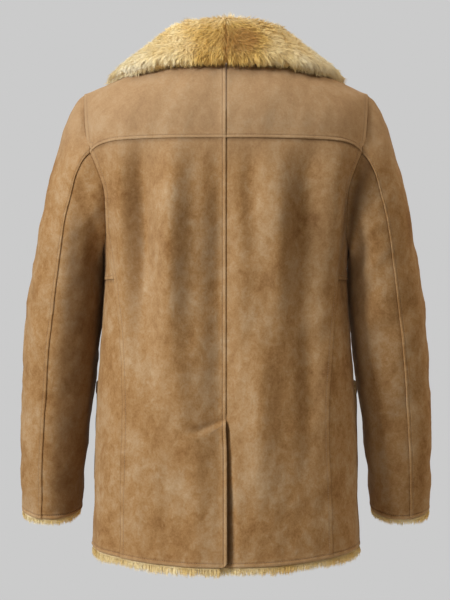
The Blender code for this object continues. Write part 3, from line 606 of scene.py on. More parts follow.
def cloth(name, side, outer, inner, wear_and_light, present=None):
    """A closed wall of skin and wool between two like grids of points, in place of the node of its name."""
    rows, columns = outer.shape[:2]
    present = np.ones((rows - 1, columns - 1), bool) if present is None else present
    skin = outer + (inner - outer) * SKIN_SHARE
    points = np.stack([outer, skin, inner]).reshape(-1, 3) * (side, 1, 1)
    number = np.arange(3 * rows * columns).reshape(3, rows, columns).tolist()
    faces, kinds = [], []
    for r, c in zip(*(index.tolist() for index in np.nonzero(present))):
        corners = ((r, c), (r, c + 1), (r + 1, c + 1), (r + 1, c))
        faces.append([number[0][i][j] for i, j in corners])
        faces.append([number[2][i][j] for i, j in reversed(corners)])
        kinds += [0, 1]
        for k, (down, right) in enumerate(((-1, 0), (0, 1), (1, 0), (0, -1))):
            i, j = r + down, c + right
            if 0 <= i < rows - 1 and 0 <= j < columns - 1 and present[i, j]:
                continue
            (r1, c1), (r2, c2) = corners[k], corners[(k + 1) % 4]
            for layer in (0, 1):
                near, far = number[layer], number[layer + 1]
                faces.append([near[r2][c2], near[r1][c1], far[r1][c1], far[r2][c2]])
                kinds.append(layer)
    point_marks = np.concatenate([wear_and_light.ravel(), wear_and_light.ravel() * 0, wear_and_light.ravel() * 0])
    piece = mesh_of(side_name(name, side), points, faces, kinds, {"wear_and_light": point_marks}, (suede, clipped))
    piece.name = side_name(name, side) + "_skin"
    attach(piece, "root")
    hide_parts(side_name(name, side))
    return piece


# Rows of stitches, gathered piece by piece and sewn together below: points and outward directions.
ROWS = []


def sew(side, points, normals):
    ROWS.append((points * (side, 1, 1), normals * (side, 1, 1)))


def build_yoke(side):
    """Half of the yoke. Gives its armhole edge as points outside and inside."""
    heights = np.concatenate([refine([1, 0.84, 0.5, 0.10], 0.034), np.zeros(len(LAPS))])
    laps = np.concatenate([np.full(len(heights) - len(LAPS), np.nan), LAPS[::-1]])
    shares = refine([0.075, *NECK_SHARES, 0.5, 0.72, 0.935], 0.027)
    edge = armhole_x("back", heights)[:, None]
    x = np.concatenate([np.tile(SEAM + LAPS, (len(heights), 1)), edge * shares, edge - LAPS[::-1]], 1)
    rise = heights[:, None] * neck_rise("back", x)
    climb = (shoulder_line(x) - yoke_line(x)) * math.pi / 2
    rise = np.where(np.isnan(laps)[:, None], rise, (SEAM + np.nan_to_num(laps)[:, None]) / climb)
    points, normals = upper("back", x, rise)
    points[0, :, 1] += np.where(neck_rise("back", x)[0] >= 0.999, SEAM, 0)
    to_back = np.where(np.isnan(laps), 1, laps)[:, None] + 0 * x
    to_arm = edge - x
    to_centre = x - SEAM
    extra = np.maximum(lapped(to_back), lapped(to_arm, 0.0010))
    wear_and_light = edge_wear_and_light(to_back) + edge_wear_and_light(to_arm, 0.3)
    if side > 0:
        extra = np.maximum(extra, lapped(to_centre))
        wear_and_light = wear_and_light + edge_wear_and_light(to_centre)
    else:
        extra = extra + tucked(to_centre)
        wear_and_light = wear_and_light + dirt_and_shade(to_centre)
    outer = dressed(side, points, normals, extra)
    inner = outer - normals * WALL
    outer[:, -1, 0] = points[:, -1, 0]
    arm = across_seam(points[:, -1])
    inner[:, -1] = outer[:, -1] + arm - points[:, -1]
    piece = cloth("back_yoke", side, outer, inner, np.clip(wear_and_light, -1, 1))
    row = len(heights) - 1 - LAP_STITCH
    column = x.shape[1] - 1 - LAP_STITCH
    sew(side, outer[row, :], normals[row, :])
    sew(side, outer[:row, column], normals[:row, column])
    if side > 0:
        sew(side, outer[:row, LAP_STITCH], normals[:row, LAP_STITCH])
    return points[:, -1], arm


yokes = {side: build_yoke(side) for side in (1, -1)}

# ---------------------------------------------------------------------------------------------
# Back, two halves below the yoke, of the same skin. The left half laps over the right down the
# centre and ends in the free edge of the vent; below that the right half runs on underneath.
# ---------------------------------------------------------------------------------------------

UNDERLAP, UNDERLAP_TOP = 0.038, -0.578
VENT_CORNER = 0.011       # radius of the free corner at the vent
FOLD_PAINTED_LIGHT = 0.42            # how much the slope of a fold is painted lighter or darker, as painted light and shade
ARM_HEIGHTS = (-0.139, -0.158, -0.180, -0.205, -0.233, SIDE_JOIN_HEIGHT)
# In from the hem: a raw edge, rubbed pale and painted lighter as a highlight, held by a row of stitches.
HEMS = np.array([0, 0.0005, 0.0015, 0.0032, 0.0050, 0.0064, 0.0078, 0.0100, 0.0130])
HEM_REACH = (*HEMS, 0.017)
HEM_STITCH = 5


def hemmed(distance):
    """Height of the hem at a distance in from its edge."""
    heights = (-0.0004, 0.0003, 0.0009, 0.0011, 0.0008, -0.0003, 0.0005, 0.0003, 0, 0)
    return np.interp(distance, HEM_REACH, heights)


def hem_wear_and_light(distance):
    """Paleness from use and a painted highlight on the hem's raised line, with dirt and painted shade at its
    stitches as less than nothing.
    """
    return np.interp(distance, HEM_REACH, (0.3, 0.6, 0.55, 0.35, 0.25, -0.35, 0.1, 0.1, 0, 0))


def towards_hem(z, hem):
    """Share, 0 at the waist to 1 at the hem, by which a row follows the hem's own curve."""
    return np.clip((z + 0.45) / (hem + 0.45), 0, 1)


def back_heights():
    """Heights of the rows at the back's outer edge, the last of them on the hem."""
    hem = hem_line(along(SIDE_SEAM, "back", HEM_HEIGHT), 1.0)
    keys = [*ARM_HEIGHTS, -0.298, WAIST_SEAM_HEIGHT, VENT_HEIGHT + 0.006]
    vent = np.array([VENT_HEIGHT + 0.0035, VENT_HEIGHT, *np.arange(VENT_HEIGHT - 0.003, -0.5775, -0.003)])
    below = refine([UNDERLAP_TOP, hem + 0.0150], STEP)
    return np.concatenate([refine(keys, STEP), vent, below, hem + HEMS[::-1]])


def fold_painted_light(x, z):
    """Painted light and shade on the folds: lighter where a side of a fold faces the key lamp on the wearer's
    left, darker where it faces away.
    """
    lie = 0 * z
    for fold in FOLDS:
        if fold.face == "back":
            off, shape = fold_at(fold, x, z)
            lie = lie - 2 * fold.depth * off / fold.width**2 * shape
    return np.clip(FOLD_PAINTED_LIGHT * lie, -0.36, 0.20)


def build_back(side):
    """Half of the back. Gives its armhole edge as points outside and inside."""
    heights = back_heights()
    hem = heights[-1]
    under = [] if side > 0 else list(np.linspace(-UNDERLAP, -0.003, 7))
    near = np.tile([*under, *(SEAM + LAPS)], (len(heights), 1))
    edge = edge_x("back", heights)[:, None]
    x = np.concatenate([near, edge * refine([0.085, 0.93], 0.030), edge - LAPS[::-1]], 1)
    z = np.broadcast_to(heights[:, None], x.shape).copy()
    z[0] -= SEAM
    fading = np.clip(1 - (heights[0] - heights) / 0.12, 0, 1)[:, None]
    z += (yoke_line(x) - yoke_line(edge[:1])) * fading
    z += (hem_line(x, 1.0) - hem) * towards_hem(heights, hem)[:, None]
    to_centre, to_side = x - SEAM, edge - x
    to_yoke, to_hem = z[0] - z, z - z[-1]
    at_armhole = ease((z - SIDE_JOIN_HEIGHT) / 0.02)
    extra = np.maximum(lapped(to_side, 0.0006 + 0.0004 * at_armhole), hemmed(to_hem)) + tucked(to_yoke)
    wear_and_light = edge_wear_and_light(to_side, 0.12 + 0.15 * at_armhole) + hem_wear_and_light(to_hem) + dirt_and_shade(to_yoke)
    wear_and_light = wear_and_light + fold_painted_light(side * x, z)
    present = np.ones((len(heights) - 1, x.shape[1] - 1), bool)
    if side > 0:
        extra = np.maximum(extra, lapped(to_centre, 0.0015 + 0.0008 * ease((VENT_HEIGHT - z) / 0.02)))
        wear_and_light = wear_and_light + edge_wear_and_light(to_centre, 0.34)
        x = x - 0.0018 * (ease((-0.560 - z) / 0.05) * np.exp(-x / 0.02))
        off_edge = np.clip(VENT_CORNER - (x[-1] - x[-1, 0]), 0, VENT_CORNER)
        lift = VENT_CORNER - np.sqrt(VENT_CORNER**2 - off_edge**2)
        z += lift * np.clip(1 - (heights - hem) / 0.022, 0, 1)[:, None]
    else:
        # Below the vent's top the right half is painted dark where it sinks under the left one, as painted
        # shadow; above it, dirt and painted shade along the centre seam.
        gape = 0.004 + 0.008 * ease((VENT_HEIGHT - z) / 0.16)
        vent_painted_shadow = np.where(z < VENT_HEIGHT, -0.95 * ease(1.25 - np.abs(to_centre) / gape), dirt_and_shade(to_centre))
        wear_and_light = wear_and_light + vent_painted_shadow
        extra = extra + np.where(z < VENT_HEIGHT, 0, tucked(to_centre))
        first = int(np.argmin(np.abs(heights - UNDERLAP_TOP)))
        present[:first, :len(under)] = False
        z -= 0.45 * np.clip(-x, 0, UNDERLAP) * (1 - ease((UNDERLAP_TOP - heights) / 0.07))[:, None]
    points, normals = lower("back", x, z)
    outer = dressed(side, points, normals, extra)
    inner = outer - normals * WALL
    arm = int(np.argmin(np.abs(heights - SIDE_JOIN_HEIGHT))) + 1
    plain = points[:arm, -1]
    inner[:arm, -1] = outer[:arm, -1] + across_seam(plain) - plain
    piece = cloth("back", side, outer, inner, np.clip(wear_and_light, -1, 1), present)
    hems = len(heights) - 1 - HEM_STITCH
    column = x.shape[1] - 1 - LAP_STITCH
    sew(side, outer[:hems, column], normals[:hems, column])
    if side > 0:
        sew(side, outer[:hems + 1, LAP_STITCH], normals[:hems + 1, LAP_STITCH])
        sew(side, outer[hems, LAP_STITCH:], normals[hems, LAP_STITCH:])
        vent = int(np.argmin(np.abs(heights - VENT_HEIGHT)))
        across = [(vent + k, LAP_STITCH + round(1.2 * k)) for k in range(6)]
        sew(side, *(np.array([grid[at] for at in across]) for grid in (outer, normals)))
    else:
        sew(side, outer[hems, :], normals[hems, :])
    return plain, across_seam(plain)


backs = {side: build_back(side) for side in (1, -1)}

# ---------------------------------------------------------------------------------------------
# Side body under each arm, cut in two by a level seam at the waist. The back and the front lap
# over its edges, and the upper piece laps over the lower one.
# ---------------------------------------------------------------------------------------------


def around(turn, z):
    """Points and outward directions at a turn round the body from the centre back and a height."""
    turn, z = np.broadcast_arrays(turn, z)
    power = 2 / ROUND
    depth = np.where(np.cos(turn) >= 0, along(TORSO, "back_depth", z), along(TORSO, "front_depth", z))
    x = along(TORSO, "half_width", z) * np.abs(np.sin(turn)) ** power
    y = depth * np.sign(np.cos(turn)) * np.abs(np.cos(turn)) ** power
    points = np.stack([x, y, z], -1)
    return points, outward(points)


def turn_of(face, x, z):
    """Turn round the body of a point at a distance from the centre."""
    share = np.clip(x / along(TORSO, "half_width", z), 0, 1) ** (ROUND / 2)
    return np.arcsin(share) if face == "back" else math.pi - np.arcsin(share)


def build_side(side):
    """Both pieces. Gives the armhole edge, and the height of each row where it meets the front."""
    heights = back_heights()
    hem = heights[-1]
    shares = np.concatenate([[0, 0.012, 0.03], refine([0.06, 0.94], 0.055), [0.97, 0.988, 1]])

    def turns_at(z):
        first = turn_of("back", along(SIDE_SEAM, "back", z) + SEAM, z)
        last = turn_of("front", along(SIDE_SEAM, "front", z) + SEAM, z)
        return first + (last - first) * shares

    def tucked_sides(points):
        ends = [np.linalg.norm(points - points[:, k:k + 1], axis=-1) for k in (0, points.shape[1] - 1)]
        nearest = np.minimum(*ends)
        return tucked(nearest), dirt_and_shade(nearest)

    armhole = UNDERARM_HEIGHT + (SIDE_JOIN_HEIGHT - UNDERARM_HEIGHT) * np.abs(2 * shares - 1) ** 3
    foot = WAIST_SEAM_HEIGHT + SEAM
    down = np.concatenate([refine([0, 0.78], 0.10), 1 - LAPS[::-1] / 0.05])
    z = armhole + (foot - armhole) * down[:, None]
    points, normals = around(np.array([turns_at(row) for row in z]), z)
    low, dark = tucked_sides(points)
    to_seam = z - foot
    outer = dressed(side, points, normals, lapped(to_seam, 0.0009) + low)
    inner = outer - normals * WALL
    arm = across_seam(points[0])
    inner[0] = outer[0] + arm - points[0]
    piece = cloth("side_upper", side, outer, inner, np.clip(edge_wear_and_light(to_seam, 0.2) + dark, -1, 1))
    row = len(down) - 1 - LAP_STITCH
    sew(side, outer[row], normals[row])

    rows = np.array([WAIST_SEAM_HEIGHT - SEAM, *heights[heights < WAIST_SEAM_HEIGHT - 0.003]])
    z_low = np.broadcast_to(rows[:, None], (len(rows), len(shares))).copy()
    level, _ = around(np.array([turns_at(row) for row in z_low]), z_low)
    z_low += (hem_line(level[..., 0], level[..., 1]) - hem) * towards_hem(rows, hem)[:, None]
    points_low, normals_low = around(np.array([turns_at(row) for row in z_low]), z_low)
    low, dark = tucked_sides(points_low)
    to_seam, to_hem = z_low[0] - z_low, z_low - z_low[-1]
    outer_low = dressed(side, points_low, normals_low, low + tucked(to_seam) + hemmed(to_hem))
    wear_and_light = np.clip(dark + dirt_and_shade(to_seam) + hem_wear_and_light(to_hem), -1, 1)
    piece = cloth("side_lower", side, outer_low, outer_low - normals_low * WALL, wear_and_light)
    hems = len(rows) - 1 - HEM_STITCH
    sew(side, outer_low[hems], normals_low[hems])
    return points[0], arm, z_low[:, -1]


sides = {side: build_side(side) for side in (1, -1)}

# ---------------------------------------------------------------------------------------------
# Fronts, one plain skin each from the shoulder seam to the hem. The left one buttons over the
# right. A real buttonhole is cut through and worked round with thread; here the skin is whole.
# ---------------------------------------------------------------------------------------------

WRAP = 0.028              # from the centre to each front's edge
FORE_SEAM_HEIGHT = -0.168  # where the sleeve's fore-arm seam meets the armhole
BUTTON_HEIGHTS = (-0.182, -0.308, -0.434, -0.560)


def build_front(side, side_heights):
    """One front. Gives its armhole edge as points outside and inside, and the fore-arm seam's row."""
    arm_heights = refine((CHEST_HEIGHT, FORE_SEAM_HEIGHT, -0.196, -0.228, SIDE_JOIN_HEIGHT), STEP)
    heights = np.array([*arm_heights, *refine((-0.268, -0.330), STEP), *side_heights])
    rises = refine([1, 0.86, 0.70, 0.52, 0.34, 0.17, 0.04], 0.034)
    shares = refine([0.03, *NECK_SHARES, 0.45, 0.935], 0.028)

    def columns(edge):
        near = np.tile([*(LAPS - WRAP), *refine([-0.013, 0], STEP)], (len(edge), 1))
        return np.concatenate([near, edge[:, None] * shares, edge[:, None] - LAPS[::-1]], 1)

    x_top = columns(armhole_x("front", rises))
    top, top_normals = upper("front", x_top, rises[:, None] * neck_rise("front", x_top))
    top[0, :, 1] -= np.where(np.abs(x_top[0]) >= NECK_HALF_WIDTH - 1e-6, SEAM, 0)
    edge = edge_x("front", heights)
    x_low = columns(edge)
    z = np.broadcast_to(heights[:, None], x_low.shape).copy()
    z += (hem_line(x_low, -1.0) - hem_line(edge[-1:], -1.0)) * towards_hem(heights, heights[-1])[:, None]
    bottom, bottom_normals = lower("front", x_low, z)
    points = np.concatenate([top, bottom])
    normals = np.concatenate([top_normals, bottom_normals])
    x = np.concatenate([x_top, x_low])
    to_edge, to_side = x + WRAP, x[:, -1:] - x
    to_hem = np.concatenate([np.ones(x_top.shape), z - z[-1]])
    extra = np.maximum(lapped(to_side, 0.0007), hemmed(to_hem))
    wear_and_light = edge_wear_and_light(to_side, 0.15) + hem_wear_and_light(to_hem)
    if side > 0:
        extra = np.maximum(extra, lapped(to_edge, 0.0016))
        wear_and_light = wear_and_light + edge_wear_and_light(to_edge)
    outer = dressed(side, points, normals, extra)
    inner = outer - normals * WALL
    arm = len(rises) + len(arm_heights)
    plain = points[:arm, -1]
    inner[:arm, -1] = outer[:arm, -1] + across_seam(plain) - plain
    piece = cloth("front", side, outer, inner, np.clip(wear_and_light, -1, 1))
    hems = len(x) - 1 - HEM_STITCH
    column = x.shape[1] - 1 - LAP_STITCH
    sew(side, outer[:hems, column], normals[:hems, column])
    if side > 0:
        sew(side, outer[:hems + 1, LAP_STITCH], normals[:hems + 1, LAP_STITCH])
    sew(side, outer[hems, LAP_STITCH:], normals[hems, LAP_STITCH:])
    fore = len(rises) + int(np.argmin(np.abs(arm_heights - FORE_SEAM_HEIGHT)))
    return plain, across_seam(plain), fore


fronts = {side: build_front(side, sides[side][2]) for side in (1, -1)}

# Only a buttonhole's thread is built. Its two sides meet over where the slit runs in from the
# button, so the skin under them isn't cut.
HOLE_MIDDLE, HOLE_REACH, HOLE_SPREAD = 0.0145, 0.0165, 0.0010
HOLES = []
for height in BUTTON_HEIGHTS:
    about = np.linspace(0, 2 * math.pi, 61)
    along_slit = HOLE_MIDDLE + HOLE_REACH * np.cos(about)
    points, normals = lower("front", along_slit, height + HOLE_SPREAD * np.sin(about))
    HOLES.append((dressed(1, points, normals, 0.0002), normals))

# ---------------------------------------------------------------------------------------------
# Patch pockets of single skin, from the front round to the side, sewn down on three edges and
# left open at the top, which is turned and stitched.
# ---------------------------------------------------------------------------------------------

POCKET_TOP, POCKET_BOTTOM = -0.496, -0.665
POCKET_TURNS = (math.radians(97), math.radians(160))
POCKET_WALL, POCKET_PUFF, POCKET_CORNER = 0.0040, 0.0015, 0.016
POCKET_WELT = 0.13        # share of the way down where the turned top is stitched


def build_pocket(side):
    """One pocket, puffed out in its middle and drawn down at its sewn rim."""
    edge = np.array([0, 0.003, 0.010, 0.020, 0.030])
    across = np.concatenate([edge, refine([0.055, 0.945], 0.032), 1 - edge[::-1]])
    turns = POCKET_TURNS[0] + (POCKET_TURNS[1] - POCKET_TURNS[0]) * across
    from_middle = np.abs(2 * across - 1)
    off = np.clip(from_middle - 0.84, 0, 0.16) / 0.16
    foot = POCKET_BOTTOM + POCKET_CORNER * (1 - np.sqrt(1 - off**2 * 0.96))
    top = POCKET_TOP - 0.006 * from_middle**6
    down = np.concatenate([edge, refine([0.050, POCKET_WELT, 0.16, 0.955], 0.034), 1 - edge[::-1]])[:, None]
    z = top + (foot - top) * down
    points, normals = around(np.broadcast_to(turns, z.shape), z)
    under = dressed(side, points, normals, 0.0008)
    puff = POCKET_PUFF * np.sin(math.pi * across) * np.sin(math.pi * down) ** 0.5
    rim = np.minimum(np.minimum(across, 1 - across) * 0.18, (1 - down) * 0.165)
    drawn = np.where(rim < 0.012, lapped(rim, 0.0012), 0) - 0.0009 * bump(rim, 0.0012)
    welt = 0.0012 * (1 - ease((down - 0.10) / 0.05)) - 0.0006 * bump(down - POCKET_WELT, 0.01)
    outer = under + normals * (POCKET_WALL + puff + welt + drawn)[..., None]
    # The rim is lighter with a painted highlight and darker at its stitches, as on every lapped edge; the
    # turned top is lighter and its stitched fold darker.
    wear_and_light = np.maximum(edge_wear_and_light(rim), 0.9 * bump(down, 0.02)) - 0.5 * bump(down - POCKET_WELT, 0.012)
    piece = cloth("pocket", side, outer, under, np.clip(wear_and_light, -1, 1))
    near = len(edge) - 1
    mouth = int(np.argmin(np.abs(down[:, 0] - POCKET_WELT)))
    sew(side, outer[:-near, near], normals[:-near, near])
    sew(side, outer[-1 - near, near:-near], normals[-1 - near, near:-near])
    sew(side, outer[:-near, -1 - near], normals[:-near, -1 - near])
    sew(side, outer[mouth], normals[mouth])


for side in (1, -1):
    build_pocket(side)

# ---------------------------------------------------------------------------------------------
# Sleeves, each a top and an under piece, bent forward at the elbow. The top piece laps over the
# under piece along the hind-arm seam, and the body laps over both at the armhole. The under
# piece is darkened where it lies against the body, partly by soiling and partly as painted shade,
# and the right one is painted lighter away from the hind-arm seam below the armhole, as painted light.
# ---------------------------------------------------------------------------------------------

SLEEVE_ROUND = 0.90       # power of the sleeve's rounded section: 1 is an oval, less is squarer
METRES_AT_ARMHOLE, METRES_AT_CUFF = 0.62, 0.98   # of sleeve for each 1 of place, at either end
Ring = namedtuple("Ring", "outer_x outer_z inner_x inner_z middle_y half_depth lean keep")
SLEEVE = (
    Ring(0.2265, -0.0405, 0.1945, -0.2870, 0.000, 0.0740, 0, 1.00),
    Ring(0.2365, -0.0500, 0.1953, -0.2925, -0.002, 0.0770, 0, 0.75),
    Ring(0.2480, -0.0690, 0.1953, -0.2985, -0.004, 0.0790, 0, 0.50),
    Ring(0.2605, -0.0980, 0.1951, -0.3060, -0.007, 0.0800, 0, 0.28),
    Ring(0.2726, -0.1400, 0.1950, -0.3160, -0.010, 0.0805, 0, 0.12),
    Ring(0.2856, -0.1850, 0.1950, -0.3300, -0.014, 0.0805, 0, 0.04),
    Ring(0.2950, -0.2300, 0.1953, -0.3490, -0.018, 0.0800, 0, 0.00),
    Ring(0.3052, -0.2850, 0.1969, -0.3760, -0.022, 0.0785, 2, 0.00),
    Ring(0.3145, -0.3450, 0.2006, -0.4100, -0.026, 0.0765, 5, 0.00),
    Ring(0.3240, -0.4150, 0.2052, -0.4560, -0.031, 0.0735, 8, 0.00),
    Ring(0.3290, -0.4850, 0.2115, -0.5050, -0.036, 0.0700, 11, 0.00),
    Ring(0.3320, -0.5550, 0.2200, -0.5620, -0.042, 0.0665, 13, 0.00),
    Ring(0.3330, -0.6290, 0.2275, -0.6310, -0.049, 0.0620, 15, 0.00),
    Ring(0.3316, -0.7045, 0.2355, -0.7045, -0.058, 0.0575, 16, 0.00),
)
# Creases: along from 0 at the armhole to 1 at the cuff, round in degrees from the outer edge
# through the back, then the reach both ways and the depth.
Crease = namedtuple("Crease", "side along turn reach spread depth")
CREASES = (
    Crease(1, 0.34, 140, 0.17, 26, 0.011),
    Crease(1, 0.50, 105, 0.050, 34, 0.004),
    Crease(1, 0.62, 120, 0.045, 40, 0.005),
    Crease(1, 0.56, 300, 0.050, 40, 0.004),
    Crease(1, 0.80, 80, 0.060, 30, 0.003),
    Crease(-1, 0.36, 140, 0.17, 26, 0.011),
    Crease(-1, 0.53, 112, 0.045, 36, 0.004),
    Crease(-1, 0.66, 95, 0.050, 34, 0.004),
    Crease(-1, 0.58, 290, 0.050, 40, 0.004),
    Crease(-1, 0.83, 100, 0.060, 30, 0.003),
)


def sleeve_ring(place):
    """The sleeve's section at a place from 0 at the armhole to 1 at the cuff."""
    places = np.linspace(0, 1, len(SLEEVE))
    return Ring(*(float(curve(places, [row[k] for row in SLEEVE], place)) for k in range(len(Ring._fields))))


def sleeve_frame(ring):
    """Middle of a section, and half of it outwards and half of it to the back."""
    outermost = np.array([ring.outer_x, ring.middle_y, ring.outer_z])
    innermost = np.array([ring.inner_x, ring.middle_y, ring.inner_z])
    lean = math.radians(ring.lean)
    back = np.array([0, math.cos(lean), -math.sin(lean)]) * ring.half_depth
    return (outermost + innermost) / 2, (outermost - innermost) / 2, back


def crease_depth(side, place, turns):
    """How far the creases draw the sleeve in, at a place along it and turns round it."""
    depth = np.zeros_like(turns)
    for crease in CREASES:
        if crease.side == side:
            off = (np.degrees(turns) - crease.turn + 180) % 360 - 180
            reach = ((place - crease.along) / crease.reach) ** 2
            depth += crease.depth * np.exp(-((off / crease.spread) ** 2) - reach)
    return depth


def sleeve_section(side, ring, place, inset, turns):
    """Points round the sleeve, an inset in from its skin, at turns from its outer edge by the back."""
    middle, reach, back = sleeve_frame(ring)
    inset = inset + crease_depth(side, place, turns)
    wide = np.sign(np.cos(turns)) * np.abs(np.cos(turns)) ** SLEEVE_ROUND
    deep = np.sign(np.sin(turns)) * np.abs(np.sin(turns)) ** SLEEVE_ROUND
    wide = wide * (1 - inset / np.linalg.norm(reach))
    deep = deep * (1 - inset / ring.half_depth)
    return middle + wide[:, None] * reach + deep[:, None] * back


def spaced_last(grid, distances):
    """The same rows of points, with their last stretch spaced at distances in from the last point."""
    rows = []
    for row in grid:
        run = np.append(0, np.cumsum(np.linalg.norm(np.diff(row, axis=0), axis=1)))
        plain = np.count_nonzero(run < run[-1] - 0.0145)
        at = run[-1] - distances[::-1]
        last = np.stack([np.interp(at, run, row[:, k]) for k in range(3)], 1)
        rows.append((plain, row, last))
    keep = min(plain for plain, _, _ in rows)
    return np.array([np.concatenate([row[:keep], last]) for _, row, last in rows])


def build_sleeve(side, seat_outer, seat_inner, hind, fore):
    """Both pieces, from the armhole's points, which run from the shoulder round by the back."""
    count = len(seat_outer)
    middle, reach, back = sleeve_frame(SLEEVE[0])
    from_middle = seat_outer - middle
    turn = np.unwrap(np.arctan2(from_middle @ back / (back @ back), from_middle @ reach / (reach @ reach)))
    cuff = 1 - HEMS[::-1] / METRES_AT_CUFF
    places = np.concatenate([refine([0, cuff[0] - 0.004], 0.0125), cuff])
    layers = []
    for seat, inset in ((seat_outer, 0.0), (seat_inner, WALL)):
        off_plain = seat - sleeve_section(side, SLEEVE[0], -1.0, inset, turn)
        rings = []
        for place in places:
            ring = sleeve_ring(place)
            rings.append(sleeve_section(side, ring, place, inset, turn) + off_plain * max(ring.keep, 0))
        rings[0] = seat + np.array([2 * SEAM, 0, 0])
        layers.append(np.array(rings))
    true = layers[0] * (side, 1, 1)
    soft = 0.0013 * waves(true * (1, 1, 0.8), 0.070, 11) + 0.0006 * waves(true, 0.028, 12)
    soft = soft * ease(places / 0.06)[:, None]
    out_of = unit(layers[0] - layers[1])
    layers = [layer + out_of * soft[..., None] for layer in layers]

    for name, first, last, flat, area in (
        ("sleeve_top", fore - count, hind, (0.265, 0.660), 0.126),
        ("sleeve_under", hind, fore, (0.235, 0.520), 0.104),
    ):
        numbers = [n % count for n in range(first, last + 1)]
        out, inn = (layer[:, numbers].copy() for layer in layers)
        for layer in (out, inn):
            layer[:, 0] += unit(layer[:, 1] - layer[:, 0]) * SEAM
            layer[:, -1] += unit(layer[:, -2] - layer[:, -1]) * SEAM
        if name == "sleeve_top":
            out, inn = spaced_last(out, LAPS), spaced_last(inn, LAPS)
        out_of = unit(out - inn)
        to_first, to_last = (np.linalg.norm(out - out[:, k:k + 1 or None], axis=-1) for k in (0, -1))
        to_cuff = (1 - places)[:, None] * METRES_AT_CUFF + 0 * to_first
        to_arm = places[:, None] * METRES_AT_ARMHOLE + 0 * to_first
        growing = ease(to_arm / 0.02)
        if name == "sleeve_top":
            extra = lapped(to_last) * growing + tucked(to_first)
            wear_and_light = edge_wear_and_light(to_last, 0.08) + dirt_and_shade(to_first)
        else:
            extra = tucked(to_first) + tucked(to_last)
            # Darker by soiling and painted shade against the body; the right one lighter lower down, as
            # painted light.
            if side > 0:
                soil_and_painted_shade = 0.66 * ease(to_first / 0.03) * ease((to_arm - 0.08) / 0.25)
            else:
                soil_and_painted_shade = 0.85 * bump(to_arm - 0.08, 0.06) + 0.15 * ease((to_arm - 0.32) / 0.08)
                painted_light_lower = 0.55 * ease((to_first - 0.04) / 0.03) * ease((to_arm - 0.12) / 0.10)
                soil_and_painted_shade = soil_and_painted_shade - painted_light_lower
            wear_and_light = dirt_and_shade(to_first) + dirt_and_shade(to_last) - soil_and_painted_shade
        extra = extra + hemmed(to_cuff) + tucked(to_arm)
        wear_and_light = wear_and_light + hem_wear_and_light(to_cuff) + dirt_and_shade(to_arm * 0.8)
        outer = out + out_of * extra[..., None]
        piece = cloth(name, side, outer, inn, np.clip(wear_and_light, -1, 1))
        cuffs = len(places) - 1 - HEM_STITCH
        sew(side, outer[cuffs], out_of[cuffs])
        if name == "sleeve_top":
            column = outer.shape[1] - 1 - LAP_STITCH
            sew(side, outer[3:cuffs, column], out_of[3:cuffs, column])


for side in (1, -1):
    loops = [
        np.concatenate([yoke, back[1:-1], under, front[::-1][1:-1]])
        for yoke, back, under, front in zip(yokes[side], backs[side], sides[side][:2], fronts[side][:2])
    ]
    build_sleeve(side, *loops, hind=len(yokes[side][0]) - 1, fore=len(loops[0]) - fronts[side][2])

# ---------------------------------------------------------------------------------------------
# The thread: a waxed tan thread, 3.6 mm to the stitch, in every row gathered above, and worked
# close round the buttonholes.
# ---------------------------------------------------------------------------------------------

thread, wire = start_finish("thread")
twist = cloudy(wire, 1300, 2)
end_finish(thread, {
    "Base Color": twist.blend((0.190, 0.105, 0.048), (0.420, 0.280, 0.150)),
    "Roughness": (0.55 + twist * 0.3).held(),
    "Normal": raised(wire, twist, 0.0004, 0.6),
})


def start_tree(title, inputs, output):
    """A new tree of nodes, the wire that its nodes hang on, and its inputs by name."""
    tree = bpy.data.node_groups.new(title, "GeometryNodeTree")
    for name, kind in inputs.items():
        tree.interface.new_socket(name, in_out="INPUT", socket_type=f"NodeSocket{kind}")
    tree.interface.new_socket(output, in_out="OUTPUT", socket_type="NodeSocketGeometry")
    given = tree.nodes.new("NodeGroupInput")
    return tree, Wire(tree), {socket.name: Wire(tree, socket) for socket in given.outputs if socket.name}


def end_tree(tree, made):
    tree.links.new(made.socket, tree.nodes.new("NodeGroupOutput").inputs[0])


# One long grain of thread for each stitch, laid along the row and out of the skin.
stitching, wire, asked = start_tree(
    "stitching",
    {"Rows": "Geometry", "Pitch": "Float", "Length": "Float", "Width": "Float", "Thread": "Material"},
    "Stitches",
)
line = wire.node("GeometryNodeMeshToCurve", inputs={"Mesh": asked["Rows"]})
line = wire.node("GeometryNodeResampleCurve", {"mode": "LENGTH"}, {"Curve": line, "Length": asked["Pitch"]})
out_of = wire.node("GeometryNodeInputNamedAttribute", {"data_type": "FLOAT_VECTOR"}, {"Name": "out_of"})
turned = wire.node(
    "FunctionNodeAxesToRotation",
    {"primary_axis": "X", "secondary_axis": "Z"},
    {"Primary Axis": wire.node("GeometryNodeInputTangent"), "Secondary Axis": out_of},
)
grain = wire.node("GeometryNodeMeshIcoSphere", inputs={"Radius": 0.5, "Subdivisions": 1})
size = wire.node(
    "ShaderNodeCombineXYZ", inputs={"X": asked["Length"], "Y": asked["Width"], "Z": asked["Width"]}
)
laid = wire.node(
    "GeometryNodeInstanceOnPoints",
    inputs={"Points": line, "Instance": grain, "Rotation": turned, "Scale": size},
)
laid = wire.node("GeometryNodeRealizeInstances", inputs={"Geometry": laid})
laid = wire.node("GeometryNodeSetMaterial", inputs={"Geometry": laid, "Material": asked["Thread"]})
end_tree(stitching, laid)


